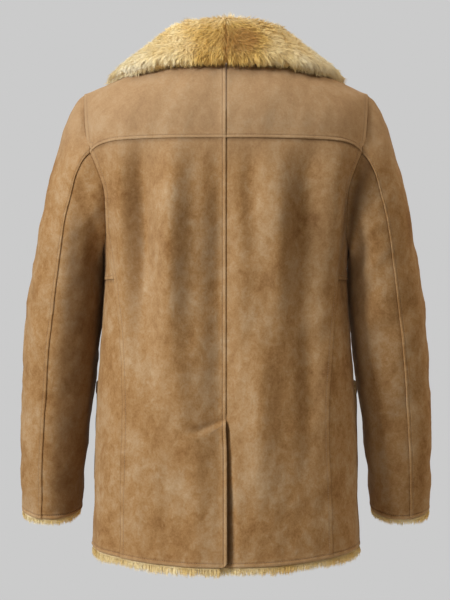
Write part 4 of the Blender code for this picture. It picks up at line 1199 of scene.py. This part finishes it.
def grown(name, start, tree, values):
    """A plain mesh object of what a tree makes from a start object, which is then removed."""
    modifier = start.modifiers.new("made", "NODES")
    modifier.node_group = tree
    for item in tree.interface.items_tree:
        if item.in_out == "INPUT" and item.name in values:
            modifier[item.identifier] = values[item.name]
    start.data.update()
    shown = start.evaluated_get(bpy.context.evaluated_depsgraph_get())
    mesh = bpy.data.meshes.new_from_object(shown)
    mesh.name = name
    bpy.data.objects.remove(start, do_unlink=True)
    piece = bpy.data.objects.new(name, mesh)
    bpy.context.scene.collection.objects.link(piece)
    return piece


THREAD_RISE = 0.00015     # the middle of a stitch above the skin

for name, rows, sizes in (
    ("stitching", ROWS, {"Pitch": 0.0036, "Length": 0.0028, "Width": 0.0009}),
    ("buttonholes", HOLES, {"Pitch": 0.0011, "Length": 0.0009, "Width": 0.0018}),
):
    seam_points, seam_normals, seam_edges = [], [], []
    for points, normals in rows:
        first = len(seam_points)
        seam_points += (points + normals * THREAD_RISE).tolist()
        seam_normals += normals.tolist()
        seam_edges += [(first + k, first + k + 1) for k in range(len(points) - 1)]
    seams = bpy.data.meshes.new("seams")
    seams.from_pydata(seam_points, seam_edges, [])
    layer = seams.attributes.new("out_of", "FLOAT_VECTOR", "POINT")
    layer.data.foreach_set("vector", np.array(seam_normals, np.float32).ravel())
    seam_lines = bpy.data.objects.new("seam_lines", seams)
    bpy.context.scene.collection.objects.link(seam_lines)
    stitches = grown(name, seam_lines, stitching, sizes | {"Thread": thread})
    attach(stitches, "root")

# ---------------------------------------------------------------------------------------------
# Wool beyond the hem and the cuffs: the skin's own fleece, which the shears leave standing out
# below the raw edge in uneven golden locks.
# ---------------------------------------------------------------------------------------------

HEM_STRAND, CUFF_STRAND = 0.0134, 0.0097
WOOL_START = 0.0004       # from the skin's edge to the roots nearest to it

# Long wool: dark at the root, gold along the strand, cream at the tip. "pale" runs from ochre,
# -1, through gold, 0, to cream, 1, and on to bleached, and "shade" differs from lock to lock.
long_wool, wire = start_finish("long_wool")
tip, shade, pale = (painted(wire, name) for name in ("tip", "shade", "pale"))
flecks = cloudy(wire, 260, 3)
hue = pale + (shade - 0.5) * 0.4
body = hue.held().blend((0.800, 0.530, 0.135), (0.860, 0.700, 0.360))
body = ((hue - 1) * 1.4).held().blend(body, (0.930, 0.845, 0.610))
body = (hue * -1.0).held().blend(body, (0.430, 0.200, 0.030))
body = ((flecks - 0.5) * 0.35).held().blend(body, (0.800, 0.640, 0.340))
root = hue.held().blend((0.500, 0.280, 0.060), (0.720, 0.530, 0.240))
colour = (1 - (tip * 3.2).held()).blend(body, root)
sunned = (tip - 0.5) * (0.3 + shade * 0.7) * (0.3 + hue.held() * 0.9)
colour = sunned.held().blend(colour, (0.900, 0.790, 0.540))
end_finish(long_wool, {
    "Base Color": colour,
    "Roughness": (0.50 + shade * 0.25).held(),
    "Specular IOR Level": 0.30,
    "Sheen Weight": 0.12,
    "Sheen Roughness": 0.5,
    "Sheen Tint": (1.0, 0.88, 0.66),
})

# The short wool under the long strands, where the skin shows between them.
under_wool, wire = start_finish("under_wool")
fuzz = cloudy(wire, 500, 4, rough=0.7)
lumps = cloudy(wire, 90, 2)
pale = painted(wire, "pale").held()
end_finish(under_wool, {
    "Base Color": (fuzz * 0.7 + lumps * 0.5).held().blend(
        pale.blend((0.300, 0.160, 0.035), (0.560, 0.400, 0.180)),
        pale.blend((0.720, 0.480, 0.160), (0.860, 0.720, 0.440)),
    ),
    "Roughness": (0.80 + fuzz * 0.2).held(),
    "Normal": raised(wire, fuzz * 0.6 + lumps * 0.4, 0.003, 0.9),
    "Specular IOR Level": 0.15,
})

# A fleece on a skin: strands of wool, each rooted in the skin and combed along it. The nearest
# lock's centre draws its strands together, and every strand strays a little by itself. The
# skin's own notes say how thick, tall, tufted and pale the wool is at each place.
growth, wire, asked = start_tree(
    "wool",
    {
        "Skin": "Geometry", "Strands": "Float", "Locks": "Float", "Length": "Float", "Thickness": "Float",
        "Lift": "Float", "Curl": "Float", "Stray": "Float", "Sway": "Float", "Gather": "Float",
        "Seed": "Int", "With Skin": "Bool", "Wool": "Material",
    },
    "Fleece",
)


def noted(name, kind="FLOAT"):
    return wire.node("GeometryNodeInputNamedAttribute", {"data_type": kind}, {"Name": name})


def note(geometry, name, value, kind="FLOAT", domain="INSTANCE"):
    settings = {"data_type": kind, "domain": domain}
    values = {"Geometry": geometry, "Name": name, "Value": value}
    return wire.node("GeometryNodeStoreNamedAttribute", settings, values)


def vectors(operation, first, second=(0, 0, 0)):
    return wire.node("ShaderNodeVectorMath", {"operation": operation}, {0: first, 1: second})


def scaled(vector, scale):
    return wire.node("ShaderNodeVectorMath", {"operation": "SCALE"}, {0: vector, 3: scale})


def quotient(first, second):
    return wire.node("ShaderNodeMath", {"operation": "DIVIDE"}, {0: first, 1: second})


def scattered(density, seed):
    """Points over the skin, so many to the square metre."""
    values = {"Mesh": asked["Skin"], "Density": density, "Seed": seed}
    return wire.node("GeometryNodeDistributePointsOnFaces", inputs=values)


def chance(low, high, seed, identity=None):
    """A random number for each root, or one for each value of an identity."""
    values = {2: low, 3: high, "Seed": asked["Seed"] + seed}
    if identity is not None:
        values["ID"] = identity
    return wire.node("FunctionNodeRandomValue", {"data_type": "FLOAT"}, values, output=1)


def chances(reach, seed, identity=None):
    """A random way off, up to a reach along each axis."""
    values = {0: (-1, -1, -1), 1: (1, 1, 1), "Seed": asked["Seed"] + seed}
    if identity is not None:
        values["ID"] = identity
    return scaled(wire.node("FunctionNodeRandomValue", {"data_type": "FLOAT_VECTOR"}, values), reach)


thick = noted("thick")
roots = scattered(asked["Strands"] * thick, asked["Seed"])
out_of = Wire(growth, roots.socket.node.outputs["Normal"])
centres = scattered(asked["Locks"] * thick, asked["Seed"] + 7)
place = wire.node("GeometryNodeInputPosition")
lock = wire.node("GeometryNodeSampleNearest", inputs={"Geometry": centres, "Sample Position": place})
centre = wire.node(
    "GeometryNodeSampleIndex",
    {"data_type": "FLOAT_VECTOR"},
    {"Geometry": centres, "Value": place, "Index": lock},
)
gather = quotient(asked["Gather"] * noted("tuft"), asked["Length"])
run = vectors("ADD", noted("comb", "FLOAT_VECTOR"), scaled(vectors("SUBTRACT", centre, place), gather))
run = vectors("ADD", run, chances(asked["Sway"], 11, lock))
loose = 1.3 - noted("tuft") * 0.8
run = vectors("ADD", run, scaled(chances(asked["Stray"], 12), loose))
start = vectors("ADD", scaled(out_of, asked["Lift"] * loose), vectors("NORMALIZE", run))
turned = wire.node(
    "FunctionNodeAxesToRotation",
    {"primary_axis": "Z", "secondary_axis": "X"},
    {"Primary Axis": start, "Secondary Axis": run},
)

# One strand is a cone of length 1 that is fullest near its middle and curls over at its tip.
half_width = quotient(asked["Thickness"] * 0.5, asked["Length"])
strand = wire.node(
    "GeometryNodeMeshCone",
    {"fill_type": "NGON"},
    {"Vertices": 3, "Side Segments": 2, "Radius Top": 0.0, "Radius Bottom": half_width, "Depth": 1.0},
)
share = wire.node("ShaderNodeSeparateXYZ", inputs={"Vector": place}, output=2)
wide, deep = (Wire(growth, share.socket.node.outputs[axis]) for axis in "XY")
strand = note(strand, "tip", share, domain="POINT")
full = 1 + share * (1 - share) * 2.4
curled = wide * full + asked["Curl"] * share * share
bent = wire.node(
    "ShaderNodeCombineXYZ",
    inputs={"X": curled, "Y": deep * full, "Z": share * (1 - share * 0.12)},
)
strand = wire.node("GeometryNodeSetPosition", inputs={"Geometry": strand, "Position": bent})
tall = asked["Length"] * noted("pile") * chance(0.72, 1.12, 13) * chance(0.85, 1.12, 14, lock)
fleece = wire.node(
    "GeometryNodeInstanceOnPoints",
    inputs={"Points": roots, "Instance": strand, "Rotation": turned, "Scale": tall},
)
fleece = note(fleece, "shade", chance(0.0, 0.6, 15, lock) + chance(0.0, 0.4, 16))
fleece = note(fleece, "seat", out_of, "FLOAT_VECTOR")
fleece = wire.node("GeometryNodeRealizeInstances", inputs={"Geometry": fleece})
fleece = wire.node("GeometryNodeSetMaterial", inputs={"Geometry": fleece, "Material": asked["Wool"]})
both = wire.node("GeometryNodeJoinGeometry", inputs={"Geometry": fleece})
growth.links.new(asked["Skin"].socket, both.socket.node.inputs[0])
fleece = wire.node(
    "GeometryNodeSwitch",
    {"input_type": "GEOMETRY"},
    {"Switch": asked["With Skin"], "False": fleece, "True": both},
)
# The light falls on the fleece as on one soft pile, more than on each strand by itself.
soft = vectors("ADD", scaled(noted("seat", "FLOAT_VECTOR"), 2.6), wire.node("GeometryNodeInputNormal"))
fleece = wire.node(
    "GeometryNodeSetMeshNormal",
    {"mode": "FREE", "domain": "POINT"},
    {"Mesh": fleece, "Custom Normal": vectors("NORMALIZE", soft)},
)
end_tree(growth, fleece)


def combed(kind, side, edge, inward, down, profile, values):
    """The wool that stands out beyond an edge, in place of its node.

    It grows from a thin strip of under wool, whose section has four corners, each with its
    distance in from the edge, its distance down and the lean of its wool.
    """
    sections = np.stack([edge + inward * near + down * drop for near, drop, _ in profile], 1)
    ways = np.stack([unit(down + inward * lean) for _, _, lean in profile], 1)
    rows, corners = sections.shape[:2]
    number = np.arange(rows * corners).reshape(rows, corners)
    if np.allclose(sections[0], sections[-1]):
        number[-1] = number[0]
        faces = ring_faces(number)
    else:
        faces = ring_faces(number) + [number[0].tolist(), number[-1].tolist()]
    points = sections.reshape(-1, 3)
    true = points * (side, 1, 1)
    notes = {
        "comb": (ways * (side, 1, 1)).reshape(-1, 3),
        "thick": np.tile([0.25, 1.0, 1.0, 0.5], rows),
        "tuft": np.ones(len(points)),
        "pile": 1 + 0.10 * waves(true, 0.050, 21) + 0.04 * waves(true, 0.016, 23),
        "pale": 0.70 + 0.25 * waves(true, 0.030, 22),
    }
    name, node = side_name(f"{kind}_fleece", side), side_name(f"{kind}_wool", side)
    strip = mesh_of(name + "_strip", true, faces, [0] * len(faces), notes, (under_wool,))
    piece = grown(name, strip, growth, values | {
        "Strands": 900000.0, "Locks": 50000.0, "Thickness": 0.00065, "Lift": 0.20, "Curl": 0.05,
        "Stray": 0.18, "Sway": 0.06, "Gather": 0.25, "With Skin": True, "Wool": long_wool,
    })
    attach(piece, "root")
    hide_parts(node)


def build_hem_wool(side):
    """From the vent, along the back, the side and the front. Up to "flat" a section is level."""
    flat = 0.030
    start = 0.0095 if side > 0 else -UNDERLAP + 0.001
    backs = np.arange(start, flat - 0.003, 0.006)
    turns = np.linspace(turn_of("back", flat, HEM_HEIGHT), turn_of("front", flat, HEM_HEIGHT), 110)
    forward = np.arange(flat, -WRAP, -0.006)[1:]
    level, _ = around(turns, np.full(turns.shape, HEM_HEIGHT))
    parts = (
        lower("back", backs, hem_line(backs, 1.0)),
        around(turns, hem_line(level[:, 0], level[:, 1])),
        lower("front", forward, hem_line(forward, -1.0)),
    )
    points, normals = (np.concatenate([part[i] for part in parts]) for i in (0, 1))
    skin = dressed(side, points, normals)
    profile = ((0.0012, WOOL_START, -0.18), (0.0015, 0.0042, -0.10),
               (0.0048, 0.0042, 0.16), (0.0054, WOOL_START, 0.20))
    combed("hem", side, skin, -normals, np.array([0, 0, -1.0]), profile,
           {"Length": HEM_STRAND, "Seed": 31 if side > 0 else 32})


def build_cuff_wool(side):
    """All round the sleeve's end."""
    turns = np.linspace(0, 2 * math.pi, 73)
    edge = sleeve_section(side, SLEEVE[-1], 1.0, 0.0, turns)
    drop = unit(edge - sleeve_section(side, SLEEVE[-2], 1.0, 0.0, turns))
    inward = unit(sleeve_section(side, SLEEVE[-1], 1.0, WALL, turns) - edge)
    profile = ((0.0012, WOOL_START, -0.15), (0.0014, 0.0036, -0.08),
               (0.0046, 0.0036, 0.15), (0.0052, WOOL_START, 0.2))
    combed("cuff", side, edge, inward, drop, profile,
           {"Length": CUFF_STRAND, "Seed": 33 if side > 0 else 34})


for side in (1, -1):
    build_hem_wool(side)
    build_cuff_wool(side)

# ---------------------------------------------------------------------------------------------
# Collar, two halves joined at the centre back. One skin forms the stand, the fold and the fall,
# with its long fleece outside, combed out from the centre seam and down over the fall.
# ---------------------------------------------------------------------------------------------

Station = namedtuple("Station", "turn roll_x roll_y roll_z edge_x edge_y edge_z")
COLLAR = (
    Station(0, 0.0000, 0.0860, 0.0630, 0.0000, 0.1150, -0.0020),
    Station(30, 0.0440, 0.0760, 0.0600, 0.0740, 0.1080, -0.0030),
    Station(60, 0.0750, 0.0450, 0.0550, 0.1370, 0.0760, -0.0055),
    Station(90, 0.0868, 0.0040, 0.0528, 0.1735, 0.0130, -0.0095),
    Station(120, 0.0820, -0.0420, 0.0385, 0.1870, -0.0500, -0.0270),
    Station(150, 0.0520, -0.0900, 0.0020, 0.1450, -0.1260, -0.0820),
    Station(174, 0.0165, -0.1190, -0.0400, 0.0860, -0.1480, -0.1450),
)


def neck_seam(turn):
    """The neck seam at a turn, in degrees, from the centre back."""
    x = np.array(NECK_HALF_WIDTH * math.sin(math.radians(turn)))
    face = "back" if turn <= 90 else "front"
    return upper(face, x, neck_rise(face, x))[0]


def collar_station(turn):
    """Middle of the collar's fold and of its outer edge at a turn."""
    values = np.array([along(COLLAR, field, turn) for field in Station._fields[1:]])
    return values[:3], values[3:]


def collar_section(turn):
    """The skin of the collar in one closed line, at a turn from the centre back.

    The wool side runs from point 1, inside the neck, over the fold, 4, down the fall to the
    edge, 9, and a little way under it, to 11. Points 12, 13 and 0 are the suede underneath.
    """
    up = np.array([0, 0, 1.0])
    out = np.array([math.sin(math.radians(turn)), math.cos(math.radians(turn)), 0])
    roll, edge = collar_station(turn)
    edge = edge + (up * 0.0025 - out * 0.0195) * (1 - ease((turn - 32) / 55))
    edge = edge + up * 0.0030 * math.exp(-(((turn - 48) / 18) ** 2))
    seat = neck_seam(turn)
    ahead = np.add(*collar_station(min(turn + 2, COLLAR[-1].turn)))
    behind = np.add(*collar_station(max(turn - 2, 0)))
    at_centre = turn < 1
    if at_centre:
        roll[0] = edge[0] = seat[0] = 2 * SEAM
    fall = unit(edge - roll)
    face = unit(np.cross(ahead - behind, fall))
    face = face * np.sign(face @ (out + up))
    if at_centre:
        face[0] = fall[0] = 0
    foot = seat + up * (0.0015 + 0.0030 * ease((turn - 120) / 30))
    return np.array([
        foot + out * 0.0005,
        foot - out * 0.0048,
        (foot + roll) / 2 - out * 0.0055,
        roll - out * 0.0050,
        roll + unit(up + face - out) * 0.0066,
        roll + face * 0.0072,
        roll + (edge - roll) * 0.35 + face * 0.0068,
        roll + (edge - roll) * 0.70 + face * 0.0066,
        edge - fall * 0.0070 + face * 0.0036,
        edge - fall * 0.0035 - face * 0.0020,
        edge - fall * 0.0045 - face * 0.0074,
        (roll + edge) / 2 - face * 0.0074,
        roll + fall * 0.009 - face * 0.0060,
        (foot + roll) / 2 + out * 0.0015,
    ])


def rounded(section, parts):
    """A closed line of points made smooth, with a number of parts to each stretch."""
    before, after, beyond = (np.roll(section, k, axis=0) for k in (1, -1, -2))
    at = np.arange(parts)[:, None, None] / parts
    smooth = 0.5 * (
        2 * section + (after - before) * at
        + (2 * before - 5 * section + 4 * after - beyond) * at**2
        + (3 * section - before - 3 * after + beyond) * at**3
    )
    return smooth.transpose(1, 0, 2).reshape(-1, 3)


PARTS = 4                 # parts to each stretch between two points of a section


def build_collar(side):
    """One half. "j" counts along the section's points and "down_fall" from the fold to the edge."""
    turns = np.array([0.6, 1.6, *refine([3, 12], 1.8)[:-1], *refine([12, 168], 2.6), 170, 172, 173.3, 174])
    grid = np.array([rounded(collar_section(turn), PARTS) for turn in turns])
    for row, share in ((0, 0.80), (-1, 0.35), (-2, 0.80)):
        middle = (grid[row] + np.roll(grid[row][::-1], 3 * PARTS, axis=0)) / 2
        grid[row] = middle + (grid[row] - middle) * share
    rows, columns = grid.shape[:2]
    true = grid * (side, 1, 1)
    j = np.arange(columns) / PARTS
    inside_neck = ease((3.2 - j) / 1.2)
    down_fall = np.clip((j - 4) / 5, 0, 1)
    fringe = ease((down_fall - 0.60) / 0.22)
    spent = ease((down_fall - 0.80) / 0.18)
    under = ease((j - 9.1) / 0.5)
    rolled = ease((j - 2.6) / 1.0) * ease((6.4 - j) / 1.4) * ease((turns[:, None] - 18) / 20)
    woolly = ease((j - 0.7) / 0.4) * ease((11.3 - j) / 0.3)
    seam = bump(turns - 0.6, 0.7)[:, None] * ease((down_fall - 0.14) / 0.12)
    seam = seam * (1 - ease((down_fall - 0.80) / 0.15))
    thick = woolly * (1 - 0.35 * inside_neck) * (1 - 0.2 * seam) * (1 + 0.35 * fringe) * (1 - 0.2 * under)
    ways_down = unit(np.roll(grid, -1, axis=1) - np.roll(grid, 1, axis=1))
    ways_round = unit(np.gradient(grid, axis=0))
    outward_turn = ease((turns + 1) / 9)[:, None] * (1 - 0.45 * ease((turns - 60) / 60))[:, None]
    angle = np.radians(66 - 30 * ease(down_fall / 0.7) - 22 * fringe) * (1 - 0.8 * inside_neck) * outward_turn
    angle = angle + (0.30 * waves(true, 0.042, 41) + 0.12 * waves(true, 0.017, 42)) * (1 - 0.5 * fringe)
    comb = unit(ways_down * np.cos(angle)[..., None] + ways_round * np.sin(angle)[..., None])
    round_out = np.stack([np.sin(np.radians(turns)), np.cos(np.radians(turns)), 0 * turns], -1)[:, None]
    fall = unit(grid[:, 8 * PARTS] - grid[:, 5 * PARTS])[:, None]
    at_back = (1 - ease((turns - 52) / 40))[:, None, None]
    hanging = unit(fall + at_back * np.array([0, 0, -0.35]) + 0.25 * ways_round)
    tucked_in = unit(fall - 1.3 * at_back * round_out + 0.15 * ways_round)
    droop, under = 0.55 * fringe[:, None], under[:, None]
    comb = unit(comb * (1 - droop) + hanging * droop) * (1 - under) + tucked_in * under
    behind = ease(grid[..., 1] / 0.02)
    near_middle = np.exp(-((true[..., 0] / 0.060) ** 4)) * ease((down_fall - 0.10) / 0.2) * behind
    off_ochre = ((true[..., 0] + 0.026) / 0.026) ** 2 + ((true[..., 2] - 0.036) / 0.018) ** 2
    ochre = np.exp(-off_ochre) * behind
    far = ease((true[..., 0] * side - 0.085) / 0.07) * ease((true[..., 1] + 0.055) / 0.05)
    pale = 0.85 + 0.75 * far - 0.85 * near_middle - 1.9 * ochre
    # Strands under the fall's edge are painted darker, as painted shade under the fall.
    pale = pale + 0.16 * waves(true, 0.030, 43) - 1.1 * seam * behind - 0.5 * under[:, 0]
    pile = 0.88 + 0.06 * waves(true, 0.022, 44) + 0.50 * fringe - 0.70 * spent
    pile = (pile + 0.40 * under[:, 0] * at_back[..., 0] + 0.12 * rolled) * (1 - 0.2 * seam)
    notes = {
        "comb": (comb * (side, 1, 1)).reshape(-1, 3),
        "thick": thick.ravel(),
        "tuft": np.broadcast_to(0.22 + 0.78 * fringe, thick.shape).ravel(),
        "pile": np.broadcast_to(pile, thick.shape).ravel(),
        "pale": pale.ravel(),
        "wear_and_light": np.zeros(rows * columns),
    }
    number = np.arange(rows * columns).reshape(rows, columns)
    faces = ring_faces(number) + [number[0].tolist(), number[-1].tolist()]
    kinds = [int(0.9 * PARTS < c < 11.1 * PARTS) for c in range(columns)] * (rows - 1) + [1, 1]
    name = side_name("collar_skin", side)
    skin = mesh_of(name, true.reshape(-1, 3), faces, kinds, notes, (suede, under_wool))
    fleeces = []
    forward = ease((turns[:, None] - 104) / 4)
    for part, share, seed in (("back", 1 - forward, 51), ("front", 0.50 * forward, 52)):
        bed = skin.copy()
        bed.data = skin.data.copy()
        layer = bed.data.attributes["thick"]
        layer.data.foreach_set("value", (thick * share).astype(np.float32).ravel())
        bpy.context.scene.collection.objects.link(bed)
        fleeces.append(grown(side_name(f"collar_{part}_fleece", side), bed, growth, {
            "Strands": 390000.0, "Locks": 30000.0, "Length": 0.0130,
            "Thickness": 0.00085, "Lift": 0.42, "Curl": 0.20, "Stray": 0.46, "Sway": 0.27, "Gather": 0.80,
            "Seed": seed if side > 0 else seed + 2, "With Skin": False, "Wool": long_wool,
        }))
    for piece in (skin, *fleeces):
        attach(piece, "root")
    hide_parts(side_name("collar", side))


for side in (1, -1):
    build_collar(side)

# ---------------------------------------------------------------------------------------------
# Four buttons of dark horn, turned with a dished face and four holes. A real one is sewn to the
# right front and passes through the left. These lie on the left front at the centre line, with
# two threads over the face, and have no shank.
# ---------------------------------------------------------------------------------------------

BUTTON_RADIUS = 0.0140
BUTTON_SIDES = 48
HOLE_RADIUS, HOLE_DEPTH = 0.0012, 0.0022
HOLE_OUT = 0.0027         # from the button's centre to each hole, which is built as a pit
THREAD_RADIUS = 0.00045
RING_RADII = (
    0, 0.0006, 0.0012, 0.0016, 0.0021, 0.0027, 0.0033, 0.0038, 0.0044, 0.0056, 0.0072, 0.0086,
    0.0094, 0.0104, 0.0114, 0.0124, 0.0132, 0.0138, BUTTON_RADIUS,
)
# Radius and height of the turned face: the dish, the rim and its rounded edge.
FACE = (
    (0, 0.0036), (0.0086, 0.0038), (0.0098, 0.0046), (0.0112, 0.0052), (0.0130, 0.0051),
    (0.0137, 0.0046), (BUTTON_RADIUS, 0.0040),
)

horn, wire = start_finish("horn")
bands = cloudy(wire, 120, 4, (1, 1, 4), 0.6)
scuffs = cloudy(wire, 900, 3)
end_finish(horn, {
    "Base Color": ramp(
        wire, bands,
        (0.30, (0.030, 0.014, 0.007)), (0.52, (0.110, 0.055, 0.026)), (0.72, (0.260, 0.150, 0.075)),
    ),
    "Roughness": (0.24 + scuffs * 0.22).held(),
    "Normal": raised(wire, scuffs * 0.6 + bands * 0.4, 0.0002, 0.4),
    "Coat Weight": 0.25,
})


def circles(radii, heights):
    """Points round circles about a button's axis."""
    turns = np.linspace(0, 2 * math.pi, BUTTON_SIDES, endpoint=False)
    radii, heights = np.array(radii)[:, None], np.array(heights)[:, None]
    return np.stack([radii * np.cos(turns), radii * np.sin(turns), heights + 0 * turns], -1)


def seated(points, seat, out):
    """Points by a button's own axes, with the middle of its back at a seat and facing out."""
    level = unit(np.cross(out, (1, 0, 0)))
    return seat + points[:, :1] * np.array([1, 0, 0]) + points[:, 1:2] * level + points[:, 2:] * out


def build_button(number, height):
    """One button at its height on the centre line, with the threads over its face."""
    points, normals = lower("front", np.zeros(1), np.array([height]))
    seat, out = dressed(1, points, normals, 0.0008)[0], normals[0]
    top = np.interp(RING_RADII, *zip(*FACE))
    rings = circles(RING_RADII, top)
    for quarter in range(4):
        hole = math.radians(45 + 90 * quarter)
        off = np.hypot(rings[..., 0] - HOLE_OUT * math.cos(hole), rings[..., 1] - HOLE_OUT * math.sin(hole))
        rings[..., 2] -= HOLE_DEPTH * ease((HOLE_RADIUS * 1.25 - off) / (HOLE_RADIUS * 0.5))
    shape = np.concatenate([rings[1:], circles((BUTTON_RADIUS, 0.0130), (0.0010, 0.0))])
    placed = seated(np.concatenate([shape.reshape(-1, 3), [[0, 0, top[0]]]]), seat, out)
    middle = len(placed) - 1
    at = np.arange(middle).reshape(-1, BUTTON_SIDES)
    faces = ring_faces(at)
    faces += [[(c + 1) % BUTTON_SIDES, c, middle] for c in range(BUTTON_SIDES)]
    faces.append(at[-1].tolist())
    kinds = [0] * len(faces)
    # Two threads lie across the face, each an arch that goes down into a hole at both ends.
    along_it = np.linspace(-1, 1, 9)
    about = np.linspace(0, 2 * math.pi, 8, endpoint=False)
    for across in (-0.0019, 0.0019):
        spine = np.stack([along_it * 0.0023, across + 0 * along_it, 0.0040 - 0.0022 * along_it**6], -1)
        tube = spine[:, None] + THREAD_RADIUS * np.stack([0 * about, np.cos(about), np.sin(about)], -1)
        ring = len(placed) + np.arange(len(along_it) * len(about)).reshape(len(along_it), -1)
        placed = np.concatenate([placed, seated(tube.reshape(-1, 3), seat, out)])
        tube_faces = ring_faces(ring) + [ring[0].tolist(), ring[-1].tolist()]
        faces += tube_faces
        kinds += [1] * len(tube_faces)
    button = mesh_of(f"horn_button_{number}", placed, faces, kinds, {}, (horn, thread))
    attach(button, "root")
    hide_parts(f"button_{number}")


for number, height in enumerate(BUTTON_HEIGHTS, 1):
    build_button(number, height)
